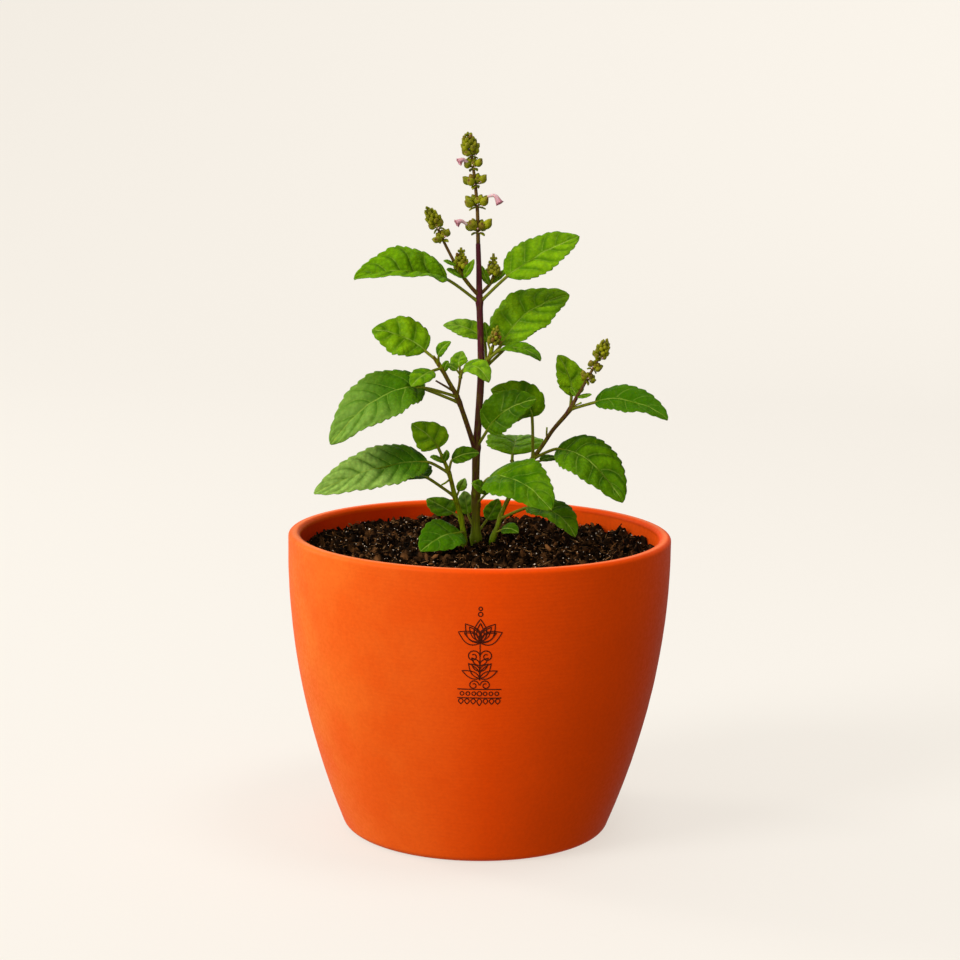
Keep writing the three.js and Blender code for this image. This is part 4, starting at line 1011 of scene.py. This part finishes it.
def leaf_shape(base, mid, tip, width, face, fold, seed, lightness=0.0, fade=0.0):
    """A blade over a grid of u along the midrib and v across it. Each half rises from the midrib
    by the fold's sine and bends back by the camber times v squared. The margin is cut into teeth,
    the tissue puffs up between side veins that sweep to the tip, and the margin waves."""
    length = np.linalg.norm(np.subtract(tip, mid)) + np.linalg.norm(np.subtract(mid, base))
    teeth = max(4, round(length / TOOTH_PITCH))
    veins = max(3.0, round(length / VEIN_PITCH))
    half = max(4, round(width / 2 / COLUMN_PITCH))
    v = np.linspace(-1, 1, 2 * half + 1)
    u, v = np.meshgrid(np.linspace(0, 1, teeth * ROWS_PER_TOOTH + 1),
                       np.sign(v) * np.abs(v) ** 0.9, indexing="ij")
    place, side, up = blade_frame(base, mid, tip, face, u)
    reach = half_width(width, u)
    far = np.abs(v)
    hand = np.where(v < 0, 0.5, 0.0)
    calm = np.sin(np.pi * u) ** 0.5
    depth = min(TOOTH_DEPTH, width * TOOTH_SHARE) / np.maximum(reach, 1.5)
    ends = np.sin(np.pi * u.clip(0.02, 0.98)) ** 0.3
    cut = v * (1 - depth * notch(u + hand / teeth, teeth) * far**5 * ends)
    fold = np.radians(fold)
    soft = np.sqrt(cut**2 + FOLD_SOFTNESS**2) - FOLD_SOFTNESS
    lift = soft * np.sin(fold) - CAMBER * cut**2
    grid = (place + side * (reach * cut * np.cos(fold))[..., None]
            + up * (reach * lift)[..., None])

    flat = np.stack([length * u, 0 * u, reach * v], axis=-1) + 9 * seed
    phase = veins * (u - VEIN_SWEEP * (0.35 + 0.65 * u) * far**1.2) + hand
    phase = phase + 0.14 * ripples(flat, 14, seed=76)
    puff = (0.5 - 0.5 * np.cos(2 * np.pi * phase)) ** 0.6 * far**0.35 * (1 - far**4) * calm
    margin = np.stack([length * u, 9 * v, 0 * u], axis=-1) + 40 * seed
    wave = 0.55 * ripples(margin, 13, seed=77) * far**2.2
    bend = (0.4 * ripples(flat, 17, seed=78) + 0.16 * ripples(flat, 7.5, seed=80)
            + 0.06 * ripples(flat, 4.2, seed=79) * (1 - far**6))
    groove = GROOVE_DEPTH * np.exp(-((far * reach / GROOVE_WIDTH) ** 2))
    size = min(1.0, width / LARGE_WIDTH)
    rise = size * (PUFF_HEIGHT * puff + (wave + bend) * calm - groove)
    grid = grid + normals(grid) * rise[..., None]
    half_thick = normals(grid) * (BLADE_THICKNESS / 2 * (1 - 0.6 * far**3))[..., None]

    gap = np.abs(phase - 0.1 - np.round(phase - 0.1)) / veins * length * 0.75
    masks = {"phase": phase, "far": far, "puff": puff, "along": length * u, "across": reach * v,
             # painted shade beside the side veins
             "crease": np.exp(-((gap / CREASE_SHADE_WIDTH) ** 2)) * (1 - far**3) * calm,
             # painted highlight along the margin
             "edge": np.exp(-(((1 - far) * reach / EDGE_HIGHLIGHT_WIDTH) ** 2)),
             "fade": (fade * (0.5 + 0.5 * np.tanh(7 * (u - FADE_START + 0.12 * far)))).clip(0, 1),
             # how much lighter the leaf is, partly its own tone and partly painted light and shade
             "lightness": np.full(u.shape, lightness)}
    both = {key: np.hstack([value[:, ::-1], value]) for key, value in masks.items()}
    both["under"] = np.hstack([np.ones(u.shape), np.zeros(u.shape)])
    both["under"][:, [0, u.shape[1] - 1]] = 0.4
    return skin(np.concatenate([(grid - half_thick)[:, ::-1], grid + half_thick], axis=1), both)


def stalk_shape(start, base, mid, tip, width, face):
    """The stalk: a tube on the curve from its carrier over the leaf's base onto the midrib, then
    thinner along the blade's underside as its raised rib."""
    u = np.linspace(0, RIB_END, 2 * STALK_STEPS)
    rib, _, up = blade_frame(base, mid, tip, face, u)
    onto = blade_frame(base, mid, tip, face, np.array([STALK_RUN]))[0][0]
    free = curve_at([start, base, onto], np.linspace(0, 0.5, STALK_STEPS + 1))[:-1]
    radius = min(PETIOLE_RADIUS, PETIOLE_LEAST + width * PETIOLE_GROWTH)
    below = np.minimum(1, u / 0.12)[:, None] * up * (radius * 0.55)
    foot = 1 + 0.5 * np.exp(-((np.arange(STALK_STEPS) / 1.6) ** 2))
    thin = radius * np.concatenate([foot, 1 - 0.8 * (u / RIB_END) ** 0.6])
    green = np.concatenate([np.ones(STALK_STEPS), 1 - 0.7 * np.minimum(1, u / 0.25)])[:, None]
    plain = np.ones_like(green)
    return tube(np.vstack([free, rib - below]), thin, STALK_SIDES,
                {"stalk": green, "far": plain, "across": plain})


# ---------------------------------------------------------------- flower spikes


def cup(places, radii, sides, mouth):
    """A bud's cup about its own axis: rings at those places and radii, the mouth's side towards
    +X drawn out into a lip."""
    rings = lathe(np.column_stack([radii, places]), sides)
    open_part = np.clip((np.asarray(places) - 0.7) / 0.3, 0, 1)[:, None]
    rings[..., 2] += 0.07 * open_part * np.cos(angles(sides))
    inner = np.asarray(mouth, float)[:, None]
    return skin(rings, {"mouth": inner, "brown": 0.3 * open_part * (1 - inner)})


RING_CUP = cup((0, 0.15, 0.3, 0.42, 0.56, 0.72, 0.86, 0.95, 1.0, 0.94),
               (0.1, 0.12, 0.26, 0.74, 1.0, 1.0, 0.84, 0.56, 0.32, 0.16), 12,
               (0, 0, 0, 0, 0, 0, 0, 0.1, 0.5, 1))
HEAD_CUP = cup((0.05, 0.3, 0.6, 0.85, 1.0), (0.5, 0.95, 1.0, 0.7, 0.2), 7, (0, 0, 0, 0, 0.2))


def cups(model, roots, out, up, length, width, rng):
    """Cups from their roots outwards, the lip's side up, each a little turned and stretched, and
    a few of them browned."""
    roots = np.broadcast_to(roots, out.shape)
    top = unit(up - (up * out).sum(axis=1, keepdims=True) * out)
    loose = rng.uniform(0.9, 1.1, out.shape)
    matrices = np.stack([top * (width * loose[:, :1]), np.cross(out, top) * (width * loose[:, 1:2]),
                         out * (length * loose[:, 2:])], axis=-1)
    return copies(model, matrices, roots, {"aged": rng.uniform(0, 1, len(roots)) ** 7})


def ring_parts(curve, ring, k, rng):
    """One ring of cups round the spike's stalk: two pairs that face right and left, smaller ones
    in front and behind, young ones above them, and two small bracts that hang under it."""
    at, small, reach, size = ring
    here, along, side, other = stand_on(curve, np.array([at]))
    parts = []
    rows = (([0.95, 1.95, 4.1, 5.1], 1.0, 0.0, BUD_RISE),
            ([0.0, 3.1][:small], 0.6, 0.25, 1.0),
            ([1.5, 4.6], 0.62, 0.7, 1.4))
    for angle, share, lift, climb in rows:
        ways = spokes(np.array(angle) + 0.25 * (-1) ** k, side, other)
        climb = climb + rng.uniform(-0.25, 0.25, (len(ways), 1))
        parts.append(cups(RING_CUP, here + along * lift * size, unit(ways + along * climb), along,
                          reach * share, size * (0.36 + 0.46 * share), rng))
    here, along = here[0], along[0]
    for way in spokes(np.array([0.4, 0.4 + np.pi]) + k, side, other):
        base = here - along * 0.2
        parts.append(leaf_shape(base, base + way * reach * 0.3 - along * 0.4,
                                base + way * reach * 0.55 - along * 1.1,
                                size * 1.3, along, BRACT_FOLD, seed=5 + k))
    return parts


def head_parts(curve, head, rng):
    """The dense head: a core that tapers to a point, tiers of round buds that point up and out
    and shrink towards the tip, and one bud on the tip."""
    start, tiers, reach = head
    share = (np.arange(tiers) + 0.1) / (tiers + 0.9)
    here, along, side, other = stand_on(curve, start + (1 - start) * share)
    wide = reach * (1.18 - 0.35 * share - 0.55 * share**2)
    fine = np.linspace(0, 1, 14)
    core = curve_at(curve, start + (0.95 - start) * fine)
    parts = [tube(core, reach * (0.5 - 0.36 * fine), 10, {"brown": np.full((14, 1), 0.4)})]
    for k in range(tiers):
        n = 5 if k < tiers - 2 else 3
        ways = spokes(k * RING_TURN + angles(n), side[k], other[k])
        lean = 0.5 + 0.9 * share[k] + rng.uniform(-0.12, 0.12, (n, 1))
        parts.append(cups(HEAD_CUP, here[k] + ways * wide[k] * 0.34, unit(ways + along[k] * lean),
                          along[k], wide[k] * 0.62, max(0.6, wide[k] * 0.29), rng))
    top = curve_at(curve, np.array([1 - 0.23 * (1 - start)]))
    return parts + [cups(HEAD_CUP, top, along[-1:], side[-1:], 1.5, 0.66, rng)]


def spike_whole(name):
    """A spike's stalk with its rings of cups and its head."""
    rows, rings, head = SPIKES[name]
    rng = np.random.default_rng(len(name))
    rows = np.asarray(rows, float)
    curve = rows[:, :3]
    t = np.linspace(0, 1, 40)[:34]
    parts = [tube(curve_at(curve, t), radius_at(rows, t) * 0.95, 10, {"brown": np.ones((34, 1))},
                  0.06)]
    for k, ring in enumerate(rings):
        parts += ring_parts(curve, ring, k, rng)
    return join(parts + head_parts(curve, head, rng))


def bloom_shape(name):
    """Specks of opening bloom: small pale balls that peep out between a spike's cups."""
    rows, rings, (start, _, reach) = SPIKES[name]
    rng = np.random.default_rng(7 + len(name))
    curve = np.asarray(rows, float)[:, :3]
    parts = []
    for at, _, wide, size in [*rings, (start, 0, reach, 1.0)]:
        here, along, side, other = stand_on(curve, np.array([at]))
        out = spokes(rng.uniform(-1.2, 1.2, 4), side, other)
        rise = rng.uniform(0.1, 0.9, (4, 1)) * size
        places = here + out * wide * rng.uniform(0.35, 0.6, (4, 1)) + along * rise
        stretch = np.repeat(rng.uniform(0.22, 0.4, (4, 1)), 3, axis=1)
        parts.append(copies(ball(6, 3, 0.15, seed=50), turns(rng, stretch), places,
                            {"mouth": rng.uniform(0, 0.6, 4)}))
    return join(parts)


def corolla_shape(points):
    """An open flower: a tube over its bend to a five-lobed mouth, and back inside."""
    t = np.concatenate([np.linspace(0, 1, 12), [0.99, 0.9, 0.75]])
    inner = np.concatenate([np.ones(12), [0.9, 0.55, 0.4]])
    along = unit(np.gradient(curve_at(points, t[:12]), axis=0))
    along = np.vstack([along, np.repeat(along[-1:], 3, axis=0)])
    flare = np.clip((t - 0.6) / 0.4, 0, 1)[:, None] ** 2
    wide = 0.8 * np.interp(t, (0, 0.5, 1), COROLLA_RADII) * inner
    wide = wide[:, None] * (1 + flare * (0.18 + 0.24 * np.cos(5 * angles(COROLLA_SIDES))))
    return tube(curve_at(points, t), wide, COROLLA_SIDES, {"mouth": t[:, None]}, along=along)


# ---------------------------------------------------------------- the plant in its pot


def fill_pot():
    """The pot with its ornament, and its soil."""
    piece("pot_clay", pot_shape(), terracotta_finish(), ["pot"])
    lines = join([line_shape(line) for line in ornament_lines()])
    piece("pot_ornament", lines, paint_finish())
    earth = soil_finish("soil", colour(2, 1, 0), colour(128, 84, 46), 0.0008)
    piece("soil_bed", soil_shape(), earth, ["soil"])
    matrices, points, size, lift = crumb_places()
    piece("soil_crumbs", crumb_shape(matrices, points, lift), earth)
    pale = shaded_finish("pale_grain", "tone", colour(160, 124, 84), colour(236, 222, 204), 0.75,
                         (0.0005, 0.0002, 0.6))
    piece("soil_grains", grain_shape(points, size), pale)
    fibre = soil_finish("bark_fibre", colour(26, 14, 6), colour(150, 110, 68), 0.0006)
    piece("soil_fibres", fibre_shape(), fibre)


def grow_plant():
    """Every stem, leaf and flower spike."""
    bark = stem_finish()
    for name, (slot, *_) in STEMS.items():
        piece(f"{name}_bark", stem_whole(name), bark, [name])

    tones = {"fresh": leaf_finish("leaf_fresh", colour(50, 93, 0), colour(134, 177, 14)),
             "deep": leaf_finish("leaf_deep", colour(38, 73, 0), colour(106, 152, 6)),
             "pale": leaf_finish("leaf_pale", colour(44, 88, 0), colour(124, 168, 18))}
    for k, (name, start, base, mid, tip, width, face, fold, tone, *looks) in enumerate(LEAVES):
        blade = leaf_shape(base, mid, tip, width, face, fold, 2 * k + 5, *looks)
        whole = join([blade, stalk_shape(start, base, mid, tip, width, face)])
        piece(f"leaf_{name}_blade", whole, tones[tone], [f"leaf_{name}"])
    seeds = iter(range(60, 99))
    for name, rows in LEAFLETS.items():
        young = [leaf_shape(*row, LEAFLET_FOLD, next(seeds)) for row in rows]
        piece(f"{name}_leaflets", join(young), tones["fresh"])

    green = bud_finish()
    for name in SPIKES:
        piece(f"{name}_buds", spike_whole(name), green, [name])
    petal = shaded_finish("petal", "mouth", colour(216, 186, 184), colour(180, 116, 130), 0.5,
                          (0.0006, 0.0001, 0.4), Subsurface_Weight=0.2, Subsurface_Scale=0.001)
    flowers = join([corolla_shape(points) for points in COROLLAS])
    piece("spike_top_flowers", flowers, petal)
    for name in ("spike_top", "spike_upper_left", "spike_right"):
        piece(f"{name}_bloom", bloom_shape(name), petal)


# ---------------------------------------------------------------- floor, light and camera

SHEET_FLAT = 1400  # radius of the flat floor
SHEET_BEND = 900
SHEET_TOP = 3000
MIDDLE = (0, 0, 0.15)  # what the lights look at
CAMERA_PLACE = (-0.00024, -0.96897, 0.31017)
CAMERA_DIP = 9.5057  # degrees below level
CAMERA_ROLL = 0.9  # degrees, left side down
FOCAL_PIXELS = 2354  # focal length in pixels of a picture 960 pixels wide
PICTURE_WIDTH = 960
SENSOR = 36


def build_stage():
    """A pale sheet that lies flat and curves up all round: a line, a quarter circle and a line,
    turned about Z. It is there for the camera alone, and the light comes through it."""
    paper = finish(blank("paper")[0], colour(125, 126, 125), 0.9, Emission_Strength=0.71,
                   Emission_Color=colour(248, 240, 229))
    section = np.vstack([[[1, 0], [SHEET_FLAT, 0]],
                         arc(SHEET_FLAT, SHEET_BEND, SHEET_BEND, -90, 0, 24),
                         [[SHEET_FLAT + SHEET_BEND, SHEET_TOP]]])
    points, quads, tris, masks = skin(lathe(section, 96))
    sheet = lay("paper_sheet", Shape(points[:-2], quads[:, ::-1], tris[:0], masks), paper)
    sheet.visible_diffuse = sheet.visible_glossy = sheet.visible_shadow = False


def posed(axes, place):
    """The matrix of an object with those axes at a place."""
    return [[*row, at] for row, at in zip(np.transpose(axes), place)] + [[0, 0, 0, 1]]


def add_light(name, kind, place, energy, tint, **settings):
    """A light at a place, turned to look at the middle."""
    data = bpy.data.lights.new(name, kind)
    data.energy = energy
    data.color = tint
    for key, value in settings.items():
        setattr(data, key, value)
    back = unit(np.subtract(place, MIDDLE))
    side = unit(np.cross((0, 0, 1), back))
    show(name, data, posed((side, np.cross(back, side), back), place))


def light_scene():
    """Soft daylight from the front left, a narrow light behind on the left and a pale surround."""
    add_light("key", "SUN", (-1.5, -1.0, 1.1), 2.05, (1.0, 0.98, 0.93), angle=np.radians(24))
    add_light("edge", "AREA", (-1.75, 0.72, 0.85), 18, (1.0, 0.94, 0.84), shape="RECTANGLE",
              size=0.48, size_y=1.3)
    add_light("top", "AREA", (0.22, -0.1, 1.05), 3, (1.0, 0.98, 0.95), shape="DISK", size=0.35)
    world = bpy.data.worlds.new("surround")
    world.use_nodes = True
    tree = world.node_tree
    ways = add(tree, "SeparateXYZ", Vector=add(tree, "TexCoord")["Generated"])
    strength = spread(ways["X"], -0.8, 0.8, 0.47, 0.01)
    for way, *stretch in (("Z", -0.5, 1.0, -0.06, 0.26), ("Y", -1.0, 0.0, 0.56, 0.0),
                          ("Y", 0.0, 1.0, 0.0, 0.37)):
        strength = sums("ADD", strength, spread(ways[way], *stretch))
    surround = tree.nodes["Background"].inputs
    connect(surround["Color"], (0.95, 0.92, 0.88, 1.0))
    connect(surround["Strength"], strength)
    bpy.context.scene.world = world
    bpy.context.scene.view_settings.view_transform = "Standard"


def build_camera():
    """The camera of the photograph: level, then dipped and rolled."""
    data = bpy.data.cameras.new("camera")
    data.sensor_width = SENSOR
    data.lens = SENSOR * FOCAL_PIXELS / PICTURE_WIDTH
    dip, roll = np.radians(CAMERA_DIP), np.radians(CAMERA_ROLL)
    ahead = np.array([0, np.cos(dip), -np.sin(dip)])
    across, level_up = np.array([1.0, 0, 0]), np.array([0, np.sin(dip), np.cos(dip)])
    right = np.cos(roll) * across + np.sin(roll) * level_up
    up = np.cos(roll) * level_up - np.sin(roll) * across
    camera = show("camera", data, posed((right, up, -ahead), CAMERA_PLACE))
    bpy.context.scene.camera = camera


build_camera()
build_stage()
light_scene()
fill_pot()
grow_plant()
